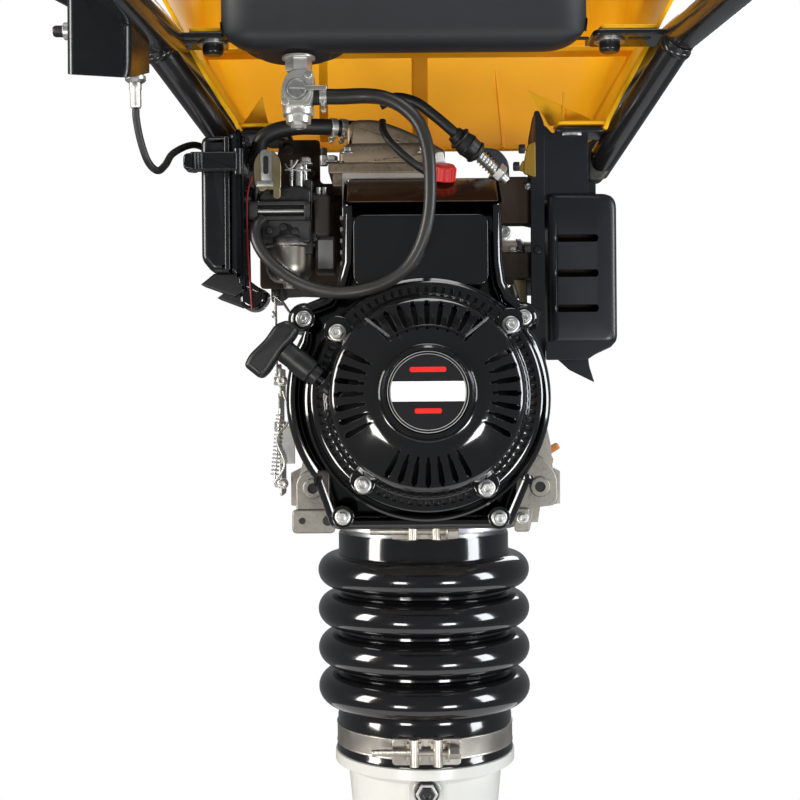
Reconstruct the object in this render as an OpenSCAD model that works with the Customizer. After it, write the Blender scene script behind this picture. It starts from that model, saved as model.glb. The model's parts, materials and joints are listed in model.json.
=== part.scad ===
// Jumping jack rammer: a leaning ramming leg with a shoe, a gear case with an engine behind it, and a handle loop above.
// The row frame stands on the sole, +Z up, +Y away from the operator.
// The machine frame leans with the leg: its origin is the engine shaft's height on the leg axis.

/* [Stance] */
// Forward lean of the leg axis, in degrees
lean = 8; // [6:0.5:10]
// Height of the engine shaft above the sole, measured along the leg
shaft_h = 600; // [595:1:615]

/* [Shoe] */
// Width of the shoe
shoe_w = 285; // [230:5:330]
// Thickness of the steel sole
sole_t = 8; // [6:1:10]

/* [Leg] */
// Outer radius of the leg below its rim
leg_r = 68.5; // [66:0.5:70]
// Radius of the leg's rim
rim_r = 80; // [78:0.5:84]
// Bore radius of the spring cylinder
spring_bore_r = 49; // [46:0.5:50]

/* [Bellows] */
// Largest radius of a convolution
bellows_r = 94.5; // [88:0.5:100]
// Number of convolutions
bellows_n = 4; // [4:1:4]
// Distance from one convolution to the next
bellows_pitch = 34.6; // [33:0.1:35]
// Wall thickness of the rubber
bellows_t = 4; // [3:0.5:5]

/* [Drive] */
// Gear module
gear_m = 2; // [2:1:2]
// Teeth on the crank gear
crank_teeth = 64; // [64:1:64]
// Teeth on the pinion
pinion_teeth = 12; // [12:1:12]
// Crank throw, half of the ramming stroke
throw = 31; // [25:1:32]

/* [Engine] */
// Radius of the fan cover's drum
fan_r = 98; // [94:1:102]
// Radius of the recoil cover
recoil_r = 87; // [80:1:90]

/* [Handle] */
// Radius of the handle tube
tube_r = 14; // [12:0.5:16]
// Half of the distance between the handle's side tubes
handle_x = 198; // [196:1:204]
// Rise of the handle loop in the machine frame, in degrees
loop_tilt = 5.1; // [3:0.1:7]

/* [Tank] */
// Width of the fuel tank
tank_w = 274; // [240:2:280]

/* [Hidden] */
$fn = 48;

gear_r = gear_m * crank_teeth / 2;
pinion_r = gear_m * pinion_teeth / 2;
gear_z = gear_r + pinion_r;
wrist_z = 5;
// Height of the lifting eye's centre
eye_z = 431;
lever_x = -226;
lever_z = 280;
rod_len = gear_z + throw - wrist_z;
joint_y = -190;
joint_z = 277;
neck_r = 72;
collar_r = 76;
first_bulge_z = -151;
gear_y0 = -28.5;
gear_y1 = -16.5;
fan_front = -195;
seat_gap = 0.05;

// Routes of the hose, the cables and the lead, in the machine frame
fuel_hose_pts = [[-62, -190, 229], [-44, -192, 229], [-30, -197, 226], [-16, -203, 218], [-3, -208, 204],
    [3, -212, 184], [5, -214, 160], [4, -214, 138], [-2, -212, 118], [-13, -209, 102], [-29, -206, 92],
    [-48, -203, 87], [-69, -197, 86], [-88, -189, 90], [-106, -183, 98], [-124, -180, 111], [-133, -177, 124],
    [-134, -173, 134], [-128, -167, 140]];
breather_pts = [[-139, -137, 190], [-132, -139, 197], [-127, -142, 209], [-117, -144, 218], [-101, -143, 221],
    [-84, -138, 220], [-66, -130, 220], [-51, -126, 220]];
ht_lead_pts = [[-28, -148, 228], [-18, -150, 236], [-4, -152, 233], [10, -152, 222], [20, -150, 212],
    [26, -148, 206]];
throttle_cable_pts = [[-207, -242, 209], [-207, -240, 202], [-205, -236, 188], [-201, -230, 174],
    [-196, -220, 169], [-193, -204, 176], [-191, -184, 188], [-184, -158, 199], [-178, -138, 203],
    [-170, -125, 199], [-160, -121, 190], [-150, -121, 180], [-140, -123, 171], [-131, -127, 163], [-124, -132, 158]];

// ---- frames and shared shapes ----
module upper() {
    rotate([-lean, 0, 0]) translate([0, 0, shaft_h]) children();
}

module loop_plane() {
    upper() translate([0, joint_y, joint_z]) rotate([loop_tilt, 0, 0]) children();
}

// A 2D outline in X and Z, drawn out along Y from y0 to y1
module y_slab(y0, y1) {
    translate([0, y1, 0]) rotate([90, 0, 0]) linear_extrude(y1 - y0) children();
}

// A 2D outline in Y and Z, drawn out along X from x0 to x1
module x_slab(x0, x1) {
    translate([x0, 0, 0]) rotate([90, 0, 90]) linear_extrude(x1 - x0) children();
}

module y_rod(x, z, r, y0, y1, fn = 48) {
    translate([x, y1, z]) rotate([90, 0, 0]) cylinder(r = r, h = y1 - y0, $fn = fn);
}

module x_rod(y, z, r, x0, x1, fn = 48) {
    translate([x0, y, z]) rotate([0, 90, 0]) cylinder(r = r, h = x1 - x0, $fn = fn);
}

// A cylinder from point p to point q
module rod(p, q, r, r2 = -1, fn = 48) {
    d = q - p;
    l = norm(d);
    translate(p) rotate([0, acos(d[2] / l), atan2(d[1], d[0])])
        cylinder(r1 = r, r2 = r2 < 0 ? r : r2, h = l, $fn = fn);
}

module ring(r_out, r_in, h) {
    difference() {
        cylinder(r = r_out, h = h);
        translate([0, 0, -1]) cylinder(r = r_in, h = h + 2);
    }
}

module box_at(lo, hi) {
    translate(lo) cube(hi - lo);
}

// A flange bolt whose head points to the operator
module y_bolt(x, y, z, r) {
    y_rod(x, z, r * 1.25, y - 2, y);
    y_rod(x, z, r, y - 2 - r, y - 2, 6);
}

module x_bolt(x, y, z, r, dir) {
    mirror([dir < 0 ? 1 : 0, 0, 0]) {
        x_rod(y, z, r * 1.25, abs(x), abs(x) + 2);
        x_rod(y, z, r, abs(x) + 2, abs(x) + 2 + r, 6);
    }
}

// A bolt with its head on top or below, dir is 1 or -1
module z_bolt(x, y, z, r, dir) {
    translate([x, y, z]) mirror([0, 0, dir < 0 ? 1 : 0]) {
        cylinder(r = r * 1.25, h = 2);
        translate([0, 0, 2]) cylinder(r = r, h = r, $fn = 6);
    }
}

function unit(v) = v / norm(v);

function direction(p, i) =
    i == 0 ? unit(p[1] - p[0])
    : i == len(p) - 1 ? unit(p[i] - p[i - 1])
    : unit(p[i + 1] - p[i - 1]);

// Side vectors carried along a route without twist
function sides(p, i = 0, s = undef) =
    i == len(p) ? []
    : let (
        t = direction(p, i),
        guess = i == 0 ? (abs(t[2]) < 0.9 ? [0, 0, 1] : [0, 1, 0]) : s,
        side = unit(guess - (guess * t) * t)
    ) concat([side], sides(p, i + 1, side));

// A round tube swept along the points of a route
module sweep(p, r, n = 8) {
    s = sides(p);
    rings = [for (i = [0 : len(p) - 1]) let (t = direction(p, i), u = s[i], v = cross(t, u))
        for (k = [0 : n - 1]) p[i] + r * (cos(360 * k / n) * u + sin(360 * k / n) * v)];
    last = (len(p) - 1) * n;
    skin = [for (i = [0 : len(p) - 2]) for (k = [0 : n - 1]) for (half = [0, 1])
        let (a = i * n + k, b = (i + 1) * n + k, c = (i + 1) * n + (k + 1) % n, d = i * n + (k + 1) % n)
            half == 0 ? [a, b, c] : [a, c, d]];
    start = [[for (k = [0 : n - 1]) k]];
    end = [[for (k = [n - 1 : -1 : 0]) last + k]];
    polyhedron(points = rings, faces = concat(skin, start, end), convexity = 8);
}

// A gear outline: addendum and dedendum are shares of the module
module gear_outline(teeth, addendum, turn) {
    r = gear_m * teeth / 2;
    step = 360 / teeth;
    tip = 0.11 * step;
    root = 0.31 * step;
    rotate(turn) polygon([for (i = [0 : teeth - 1]) for (c = [[-root, -1.2], [-tip, addendum],
        [tip, addendum], [root, -1.2]])
        let (a = i * step + c[0], d = r + c[1] * gear_m) [d * cos(a), d * sin(a)]]);
}

// ---- foot ----
module shoe_plate() {
    color("#3a3c3f") difference() {
        x_slab(-shoe_w / 2, shoe_w / 2) polygon([[-168, 26], [-160, 13], [-150, 4], [-136, 0], [124, 0],
            [144, 5], [161, 18], [174, 38], [181, 62], [173, 65], [166, 42], [155, 25], [140, 13],
            [122, sole_t], [-134, sole_t], [-146, 11], [-154, 18], [-161, 30]]);
        for (x = [-78, 78], y = [-78, 70]) translate([x, y, -1]) cylinder(r = 7.3, h = sole_t + 2);
    }
}

module shoe_pad() {
    color("#6b4a2f") difference() {
        x_slab(-shoe_w / 2 + 8, shoe_w / 2 - 8) polygon([[-133, sole_t], [121, sole_t], [139, 13.5],
            [153, 25], [132, 44], [-122, 44], [-133, 36]]);
        for (x = [-78, 78], y = [-78, 70]) translate([x, y, 0]) cylinder(r = 7.3, h = 60);
    }
}

module foot_bracket() {
    color("#4a4d50") difference() {
        union() {
            box_at([-98, -96, 44], [98, 88, 58]);
            intersection() {
                upper() translate([0, 0, -560]) cylinder(r = 76, h = 52);
                box_at([-120, -120, 50], [120, 120, 140]);
            }
            for (x = [-60, 48]) x_slab(x, x + 12) polygon([[-92, 57], [84, 57], [62, 84], [-54, 84]]);
        }
        for (x = [-78, 78], y = [-78, 70]) translate([x, y, 0]) cylinder(r = 7.3, h = 80);
    }
}

module foot_fasteners() {
    color("#b9bcc0") {
        for (x = [-78, 78], y = [-78, 70]) {
            translate([x, y, 2]) cylinder(r = 7, h = 56.2);
            z_bolt(x, y, 58, 11, 1);
        }
        upper() {
            y_bolt(0, -70, -331, 9.5);
            y_rod(0, -331, 4.75, -71, -61);
            y_rod(0, -400, 11, -72, -65.5);
            y_rod(0, -400, 8, -78, -72, 6);
        }
    }
}

module lower_leg() {
    color("#c9ccce") upper() difference() {
        union() {
            rotate_extrude() polygon([[0, -508], [84, -508], [84, -496], [72, -488], [65, -470], [65, -362],
                [leg_r, -326], [neck_r, -322], [rim_r, -320], [rim_r, -311], [neck_r - 1.5, -309],
                [neck_r - 1.5, -266], [57.95, -266], [57.95, -150], [spring_bore_r, -150],
                [spring_bore_r, -480], [0, -480]]);
            box_at([-15.5, -70, -352], [15.5, -56, -316]);
        }
        y_rod(0, -331, 4.8, -71, -60);
    }
}

module cylinder_cap() {
    color("#8f9296") upper() translate([0, 0, -150]) difference() {
        union() {
            cylinder(r = 57.5, h = 10);
            translate([0, 0, -14]) cylinder(r = spring_bore_r - 0.05, h = 15);
        }
        translate([0, 0, -20]) cylinder(r = 12.5, h = 40);
    }
}

function helix(r, z0, z1, turns, n) =
    [for (i = [0 : turns * n]) let (a = 360 * i / n) [r * cos(a), r * sin(a), z0 + (z1 - z0) * i / (turns * n)]];

module ram_springs() {
    color("#3f6f4a") upper() {
        sweep(helix(38, -293, -171, 5, 10), 5.5, 6);
        sweep(helix(38, -473, -331, 5, 10), 5.5, 6);
    }
}

// A clamp band with the T-bolt that closes it at the operator's side
module clamp_band(z, h, r) {
    translate([0, 0, z]) difference() {
        ring(r + 1.6, r, h);
        box_at([-9, -r - 6, -1], [9, -r + 6, h + 1]);
    }
    for (s = [-1, 1]) {
        box_at([s * 14 - 6, -r - 9, z + 1], [s * 14 + 6, -r - 0.3, z + h - 1]);
    }
    x_rod(-r - 5, z + h / 2, 2.6, -42, 26);
    x_rod(-r - 5, z + h / 2, 5.5, 21, 31, 6);
}

module bellows_clamp_lower() {
    color("#b4b7b9") upper() clamp_band(-306, 15, 78);
}

module bellows_clamp_upper() {
    color("#b4b7b9") upper() clamp_band(-126, 9, collar_r);
}

// ---- ram ----
module spring_piston() {
    color("#9a9da1") upper() translate([0, 0, -325]) difference() {
        cylinder(r = spring_bore_r - 0.35, h = 26);
        translate([0, 0, -1]) cylinder(r = 11.95, h = 28);
    }
}

module piston_rod() {
    color("#c4c7ca") upper() {
        translate([0, 0, -325]) cylinder(r = 11.95, h = 310);
        difference() {
            union() {
                y_rod(0, wrist_z, 15, -15, 15);
                translate([0, 0, -16]) cylinder(r = 15, h = 14);
            }
            box_at([-20, -10.2, -14], [20, 10.2, 40]);
        }
        y_rod(0, wrist_z, 6.95, -14, 14);
    }
}

module connecting_rod() {
    color("#8c9095") upper() difference() {
        union() {
            y_rod(0, wrist_z, 14, -9.7, 9.7);
            y_rod(0, wrist_z + rod_len, 21, -9.7, 9.7);
            box_at([-9, -6, wrist_z + 8], [9, 6, wrist_z + rod_len - 12]);
        }
        y_rod(0, wrist_z, 7, -12, 12);
        y_rod(0, wrist_z + rod_len, 11, -12, 12);
    }
}

// ---- gear case ----
// The bellows is one skin: half circles for the convolutions, with narrow necks between them
module bellows() {
    bulge = 15.4;
    centre = bellows_r - bulge;
    color("#16181a") upper() rotate_extrude() difference() {
        union() {
            translate([neck_r, -144]) square([collar_r - neck_r, 27]);
            translate([neck_r, -306]) square([6, 44]);
            for (i = [0 : bellows_n - 1]) translate([0, first_bulge_z - i * bellows_pitch]) {
                translate([centre, 0]) circle(r = bulge);
                translate([neck_r, -bellows_pitch / 2]) square([bellows_t, bellows_pitch]);
                translate([neck_r, -bulge]) square([centre - neck_r, bulge * 2]);
            }
        }
        for (i = [0 : bellows_n - 1]) translate([0, first_bulge_z - i * bellows_pitch]) {
            translate([centre, 0]) circle(r = bulge - bellows_t);
            translate([neck_r - 1, -bulge + bellows_t]) square([centre - neck_r + 1, 2 * (bulge - bellows_t)]);
        }
        translate([0, -320]) square([neck_r, 210]);
    }
}

module guide_cylinder() {
    color("#7d8084") upper() rotate_extrude() polygon([[25, -104], [84, -104], [84, -112], [neck_r - seat_gap, -112],
        [neck_r - seat_gap, -142], [66, -144], [66, -262], [58, -262], [58, -124], [25, -124]]);
}

module rod_bush() {
    color("#b08d4a") upper() translate([0, 0, -122]) ring(24.95, 12, 36);
}

module case_outline(grow = 0) {
    union() {
        translate([0, gear_z]) circle(r = 82 + grow);
        polygon([[-80 - grow, -104], [80 + grow, -104], [80 + grow, -60], [82 + grow, gear_z],
            [-82 - grow, gear_z], [-80 - grow, -60]]);
    }
}

module gear_case() {
    color("#8d8a84") upper() difference() {
        union() {
            y_slab(-40, 58) case_outline();
            y_slab(-76, -38) circle(r = 66);
            y_rod(0, gear_z, 36, -76, -38);
            for (s = [-1, 1]) x_rod(8, 118, 26, s > 0 ? 60 : -86, s > 0 ? 86 : -60);
            box_at([-30, -16, 148], [30, 34, 162]);
            for (s = [-1, 1]) box_at([s * 70 - 12, -66, -104], [s * 70 + 12, -30, -70]);
        }
        y_slab(-30, 60) {
            translate([0, gear_z]) circle(r = 72);
            polygon([[-42, -84], [42, -84], [60, 40], [-60, 40]]);
        }
        y_rod(0, 0, 47, -80, -40);
        y_rod(0, gear_z, 23.5, -80, -28);
        y_rod(0, 0, 17.5, -50, -28);
        translate([0, 0, -110]) cylinder(r = 25, h = 40);
    }
}

module gear_case_cover() {
    color("#96938d") upper() difference() {
        union() {
            y_slab(58, 66) case_outline(-2);
            y_rod(0, gear_z, 40, 60, 72);
            for (a = [0 : 45 : 315]) y_rod(0, gear_z, 4, 66, 70);
        }
        y_rod(0, gear_z, 30, 57, 64);
    }
}

module crank_gear() {
    color("#6f7377") upper() {
        difference() {
            translate([0, gear_y1, gear_z]) rotate([90, 0, 0])
                linear_extrude(gear_y1 - gear_y0) gear_outline(crank_teeth, 0.9, -90);
            for (x = [-34, 34]) y_rod(x, gear_z, 12, gear_y0 - 1, gear_y1 + 1);
        }
        y_rod(0, gear_z, 12.45, -75, gear_y0 + 1);
        y_rod(0, gear_z + throw, 10.9, gear_y1 - 1, -10.2);
    }
}

module bearings() {
    color("#c9cbd0") upper() {
        for (y = [-74, -50]) difference() {
            y_rod(0, gear_z, 23.5, y, y + 12);
            y_rod(0, gear_z, 12.5, y - 1, y + 13);
        }
        difference() {
            y_rod(0, 0, 17.5, -38.5, -30.5);
            y_rod(0, 0, 8, -40, -28);
        }
    }
}

module pinion_shaft() {
    color("#74787c") upper() {
        translate([0, gear_y1, 0]) rotate([90, 0, 0]) linear_extrude(gear_y1 - gear_y0)
            gear_outline(pinion_teeth, 0.8, 90 + 180 / pinion_teeth);
        y_rod(0, 0, 7.95, -58, gear_y0 + 1);
    }
}

module clutch_drum() {
    color("#5d6166") upper() difference() {
        y_rod(0, 0, 44, -68, -42);
        y_rod(0, 0, 40, -70, -46);
        y_rod(0, 0, 7.95, -80, -30);
    }
}

module clutch_shoes() {
    color("#7a5a44") upper() {
        difference() {
            y_rod(0, 0, 38.5, -66, -50);
            y_rod(0, 0, 26, -70, -48);
            box_at([-3, -72, -50], [3, -40, 50]);
        }
        difference() {
            y_rod(0, 0, 18, -74, -60);
            y_rod(0, 0, 9, -76, -50);
        }
        for (s = [-1, 1]) box_at([s * 22 - 7, -66, -5], [s * 22 + 7, -61, 5]);
    }
}

// ---- engine ----
module crankshaft() {
    color("#9b9fa4") upper() {
        y_rod(0, 0, 9, -212, -60.3);
        y_rod(0, -4, 26, -124, -118);
        y_rod(0, -4, 26, -108, -102);
    }
}

module flywheel_fan() {
    color("#6e7276") upper() {
        difference() {
            y_rod(0, 0, 72, -176, -158);
            y_rod(0, 0, 9, -180, -150);
        }
        for (a = [0 : 24 : 359]) rotate([0, a, 0]) box_at([46, -190, -1.5], [70, -175, 1.5]);
    }
}

module engine_outline() {
    polygon([[-68, -99], [68, -99], [86, -86], [100, -62], [98, -36], [86, 22], [70, 62], [-70, 62],
        [-86, 22], [-94, -36], [-100, -62], [-88, -86]]);
}

module engine_block() {
    fin_n = 9;
    color("#8f8b84") upper() difference() {
        union() {
            y_slab(-150, -76) engine_outline();
            translate([-20, -112, 60]) cylinder(r = 36, h = 104);
            for (i = [0 : fin_n - 1]) box_at([-66, -149, 70 + i * 9], [26, -78, 73 + i * 9]);
            box_at([-64, -149, 152], [24, -78, 182]);
            for (s = [-1, 1]) y_slab(-126, -112) polygon([[s * 60, -99], [s * 90, -99], [s * 92, -86],
                [s * 108, -84], [s * 108, -58], [s * 92, -50], [s * 60, -50]]);
            box_at([-92, -134, -99], [-70, -96, -82]);
        }
        difference() {
            y_rod(0, 0, 58, -140, -86);
            box_at([-90, -160, 45], [90, -60, 90]);
        }
        y_rod(0, 0, 9.1, -160, -70);
        translate([-20, -112, 30]) cylinder(r = 26, h = 118);
        for (x = [-90, 94]) y_rod(x, -71, 6, -130, -106);
        rod([84, -119, -54], [104, -119, -42], 8);
    }
}

module rocker_cover() {
    color("#b9b3a6") upper() {
        box_at([-68, -149, 182], [8, -76, 194]);
        box_at([-60, -146, 193], [0, -84, 214]);
        box_at([-50, -140, 213], [-20, -92, 228]);
    }
}

module cover_outline(grow = 0) {
    union() {
        circle(r = fan_r + grow);
        polygon([[-69 - grow, -99 - grow], [68 + grow, -99 - grow], [84 + grow, -60], [-84 - grow, -60]]);
        polygon([[-62 - grow, 60], [58 + grow, 60], [58 + grow, 168], [50 + grow, 178 + grow],
            [-54 - grow, 178 + grow], [-62 - grow, 168]]);
        for (x = [-88, 77]) translate([x, 64]) circle(r = 13 + grow);
    }
}

// Everything under the cover's slanted top, lowered by drop
module below_slope(drop) {
    x_slab(-110, 110) polygon([[-200, -110], [-140, -110], [-140, 184 - drop], [fan_front, 150 - drop],
        [-200, 147 - drop]]);
}

module fan_cover() {
    color("#101113") upper() difference() {
        intersection() {
            y_slab(fan_front, -150.3) cover_outline();
            below_slope(0);
        }
        intersection() {
            y_slab(fan_front + 2.5, -149) cover_outline(-2.5);
            below_slope(3);
        }
        y_rod(0, 0, 78, fan_front - 1, fan_front + 4);
    }
}

module recoil_cover() {
    color("#0f1012") upper() difference() {
        translate([0, fan_front - 0.2, 0]) rotate([90, 0, 0]) rotate_extrude() polygon([[66, 0], [recoil_r, 0],
            [recoil_r, 9], [76, 16], [68, 32], [45, 42], [34, 44], [34, 52], [0, 52], [0, 49], [8, 49],
            [8, 18], [12, 18], [12, 40], [44, 38.5], [65, 29], [73, 14], [84, 6], [84, 3], [66, 3]]);
        for (q = [0 : 3]) for (i = [-3 : 3]) rotate([0, q * 90 + i * 9.5, 0])
            box_at([47, -250, -1.6], [66, -218, 1.6]);
    }
    color("#0f1012") upper() rod([-66, -210, 6], [-75, -213, 13], 9);
}

module recoil_badge() {
    color("#1c1d20") upper() y_rod(0, 0, 29, fan_front - 54, fan_front - 52.2);
}

module starter_pulley() {
    color("#2a2c2f") upper() difference() {
        union() {
            y_rod(0, 0, 36, fan_front - 30, fan_front - 27);
            y_rod(0, 0, 28, fan_front - 30, fan_front - 19);
            y_rod(0, 0, 36, fan_front - 22, fan_front - 19);
        }
        y_rod(0, 0, 12.3, fan_front - 40, fan_front - 10);
    }
}

// The T grip is drawn upright, then laid along the rope
module starter_grip() {
    color("#17181a") upper() translate([-79, -214, 16]) rotate([0, -51, 0]) {
        translate([0, 0, 8]) cylinder(r1 = 7.5, r2 = 6, h = 13);
        translate([0, 0, 20]) cylinder(r1 = 6, r2 = 7.5, h = 14);
        box_at([-26, -10, 32], [30, 10, 50]);
    }
}

// The upper plates' bolts clear the tank, which sits a little to the left
function plate_bolt_x(s) = s > 0 ? 145 : -163;

module machine_bolts() {
    color("#c9ccd0") upper() {
        for (p = [[-60, -90], [58, -90], [-88, 64], [77, 64]]) y_bolt(p[0], fan_front, p[1], 5);
        for (p = [[-66, 49], [62, 55], [-48, -65], [44, -69]]) y_bolt(p[0], fan_front - 13, p[1], 5.5);
        for (x = [-60, 0]) for (y = [-146, -82]) z_bolt(x, y, 194, 4, 1);
        for (a = [30 : 60 : 330]) translate([0, 66, gear_z]) rotate([0, a, 0]) translate([70, 0, 0])
            rotate([-90, 0, 0]) cylinder(r = 5.5, h = 6, $fn = 6);
        for (s = [-1, 1]) translate([s * 66, 66, -88]) rotate([-90, 0, 0]) cylinder(r = 5.5, h = 6, $fn = 6);
        for (s = [-1, 1]) {
            x_bolt(s * 133, 8, 118, 10, s);
            z_bolt(plate_bolt_x(s), -158, 277.8, 9, -1);
            z_bolt(s * 120, -116, 213, 7, -1);
        }
    }
}

module ht_lead() {
    color("#141416") upper() {
        sweep(ht_lead_pts, 3.6, 8);
        rod([26, -148, 206], [44, -142, 192], 8, 6.5);
        rod([44, -142, 192], [62, -134, 176], 4.5);
    }
}

module carburettor() {
    color("#5d5a55") upper() {
        box_at([-132, -166, 126], [-98, -128, 156]);
        y_slab(-160, -134) polygon([[-139.8, 130], [-96, 130], [-90, 136], [-90, 164], [-98, 172], [-126, 172],
            [-139.8, 158]]);
        box_at([-139.8, -170, 142], [-90, -128, 150]);
        box_at([-98, -162, 126], [-86, -130, 176]);
        box_at([-87, -158, 112], [-66, -124, 172]);
        for (x = [-107, -92]) translate([x, -150, 171]) cylinder(r = 4.5, h = 14);
    }
}

module float_bowl() {
    color("#a9abad") upper() {
        translate([-110, -147, 98]) cylinder(r = 19, h = 27.8);
        translate([-110, -147, 92]) cylinder(r1 = 13, r2 = 19, h = 6);
        translate([-110, -147, 86]) cylinder(r = 6, h = 6, $fn = 6);
    }
}

module choke_lever() {
    color("#a08c5c") upper() {
        y_slab(-176, -173.5) polygon([[-133, 172], [-121, 170], [-114, 178], [-116, 196], [-122, 200], [-132, 198],
            [-135, 186]]);
        y_rod(-124, 164, 3.5, -176, -170.6);
        y_slab(-176, -173.5) polygon([[-128, 160], [-120, 160], [-119, 174], [-129, 174]]);
    }
}

module governor_arm() {
    color("#b8babc") upper() {
        x_slab(-121, -119) polygon([[-116, 20], [-106, 20], [-116, 88], [-124, 88]]);
        x_rod(-111, 26, 4, -121, -116.2);
    }
}

module control_plate() {
    color("#9fa2a4") upper() {
        x_slab(-115.9, -114) polygon([[-134, -76], [-92, -76], [-92, 6], [-102, 26], [-134, 26]]);
        x_rod(-111, 26, 3, -116, -98);
        box_at([-115, -130, -54], [-101, -110, -40]);
        box_at([-115, -128, -30], [-94, -112, 0]);
    }
}

module filter_case() {
    color("#15140f") upper() difference() {
        box_at([-148, -182, 98], [-140, -131, 210]);
        box_at([-149, -178, 102], [-143, -135, 206]);
    }
    color("#15140f") upper() x_rod(-152, 148, 17, -143, -140.3);
}

module filter_cover() {
    color("#141518") upper() difference() {
        x_slab(-170, -148) polygon([[-184, 108], [-178, 98], [-136, 98], [-130, 108], [-130, 196], [-136, 202],
            [-178, 202], [-184, 196]]);
        x_slab(-167, -147) polygon([[-180, 102], [-134, 102], [-134, 198], [-180, 198]]);
    }
}

module filter_latch() {
    color("#17181a") upper() {
        box_at([-176, -192, 173], [-140, -184.3, 189]);
        box_at([-182, -192, 175], [-175, -178, 187]);
        translate([-141, -188.2, 171]) cylinder(r = 3, h = 20);
    }
}

module breather_hose() {
    color("#1b1b1d") upper() sweep(breather_pts, 6, 8);
}

module muffler() {
    color("#5b5450") upper() {
        x_slab(100, 144) polygon([[-116, 70], [-106, 56], [-50, 56], [-40, 70], [-40, 150], [-50, 160],
            [-106, 160], [-116, 150]]);
        box_at([26, -110, 144], [101, -82, 166]);
        box_at([48, -118, 138], [58, -74, 172]);
    }
}

module muffler_guard() {
    color("#14161c") upper() difference() {
        union() {
            difference() {
                box_at([97, -132, 44], [153, -30, 168]);
                box_at([98.5, -130.5, 45.5], [151.5, -20, 166.5]);
                for (z = [72, 100, 128]) box_at([103, -134, z], [137, -128, z + 6]);
            }
            y_slab(-132, -130.5) polygon([[97, 45], [153, 45], [136, 32], [104, 32]]);
            box_at([86, -124, 30], [97.5, -121, 226]);
            box_at([86, -127, 160], [132, -123.5, 211]);
        }
        box_at([60, -112, 142], [104, -80, 168]);
    }
}

module oil_dipstick() {
    color("#e0861c") upper() {
        rod([84.5, -119, -53.7], [104, -119, -42], 7.9);
        rod([103, -119, -42.6], [110, -119, -38.5], 9);
        rod([109, -119, -39.1], [119, -119, -33.1], 5);
    }
}

// ---- fuel system ----
module tank_side() {
    polygon([[-216, 276], [-206, 264], [-190, 262], [-40, 310], [-26, 318], [-20, 330], [-20, 378],
        [-30, 392], [-200, 392], [-216, 380]]);
}

module fuel_tank() {
    half = tank_w / 2;
    color("#3a3f45") upper() translate([-15, 0, 0]) difference() {
        union() {
            x_slab(-half, half) tank_side();
            translate([-83, -186, 259]) cylinder(r = 26, h = 25);
            translate([40, -110, 390]) cylinder(r = 33, h = 14);
            for (x = [-80, 80]) box_at([x - 20, -58, 303.4], [x + 20, -34, 312]);
        }
        x_slab(-half + 4, half - 4) polygon([[-211, 279], [-203, 268], [-190, 266], [-41, 314], [-30, 321],
            [-25, 332], [-25, 376], [-33, 388], [-198, 388], [-211, 377]]);
        translate([40, -110, 380]) cylinder(r = 24, h = 40);
    }
}

module fuel_cap() {
    color("#17181a") upper() translate([25, -110, 404.3]) {
        difference() {
            cylinder(r = 34, h = 20);
            for (a = [0 : 30 : 330]) rotate(a) translate([35, 0, -1]) cylinder(r = 4, h = 30);
        }
        translate([0, 0, -14]) cylinder(r = 23, h = 15);
    }
}

module fuel_tap() {
    color("#8f9193") upper() {
        translate([-96, -190, 248.5]) cylinder(r = 9.5, h = 10.5, $fn = 6);
        translate([-96, -190, 212]) cylinder(r = 13, h = 37);
        translate([-96, -190, 206]) cylinder(r = 9, h = 7);
        rod([-88, -190, 229], [-62, -190, 229], 4.5);
        y_rod(-96, 230, 10, -206, -190);
    }
}

module tap_lever() {
    color("#9c9ea0") upper() {
        y_rod(-96, 230, 8, -211, -206.3);
        box_at([-96, -211, 227], [-74, -208, 235]);
    }
}

module fuel_hose() {
    color("#1e1f21") upper() sweep(fuel_hose_pts, 5, 8);
}

// ---- frame ----
module cowl_block(inset, z0, z1, rear) {
    hull() {
        for (s = [-1, 1]) {
            translate([s * (118 - inset), 190 - inset, z0]) cylinder(r = 30, h = 0.1, $fn = 32);
            translate([s * (146 - inset), rear, z0]) cylinder(r = 2, h = 0.1, $fn = 12);
        }
        for (s = [-1, 1]) {
            translate([s * (176 - inset), 300 - inset, z1]) cylinder(r = 30, h = 0.1, $fn = 32);
            translate([s * (204 - inset), rear, z1]) cylinder(r = 2, h = 0.1, $fn = 12);
        }
    }
}

module cowl_top(inset, z0, z1, rear) {
    hull() for (s = [-1, 1]) {
        translate([s * (176 - inset), 300 - inset, z0]) cylinder(r = 30, h = 0.1, $fn = 32);
        translate([s * (204 - inset), rear, z0]) cylinder(r = 2, h = 0.1, $fn = 12);
        translate([s * (182 - inset), 306 - inset, z1]) cylinder(r = 30, h = 0.1, $fn = 32);
        translate([s * (212 - inset), rear, z1]) cylinder(r = 2, h = 0.1, $fn = 12);
    }
}

module cowl() {
    color("#f6ab23") loop_plane() difference() {
        union() {
            cowl_block(0, -63, 46, 52);
            cowl_top(0, 46, 112, 52);
        }
        union() {
            cowl_block(4, -63.5, 46.2, 40);
            cowl_top(4, 46, 113, 40);
        }
        box_at([-260, 126, 3], [260, 164, 18]);
    }
    color("#f6ab23") loop_plane() for (s = [-1, 1]) {
        box_at([s > 0 ? 136 : -180, 16, 4.5], [s > 0 ? 180 : -153, 56, 8]);
        box_at([s > 0 ? 108 : -147, 52, -63], [s > 0 ? 147 : -108, 92, -60]);
    }
}

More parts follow.
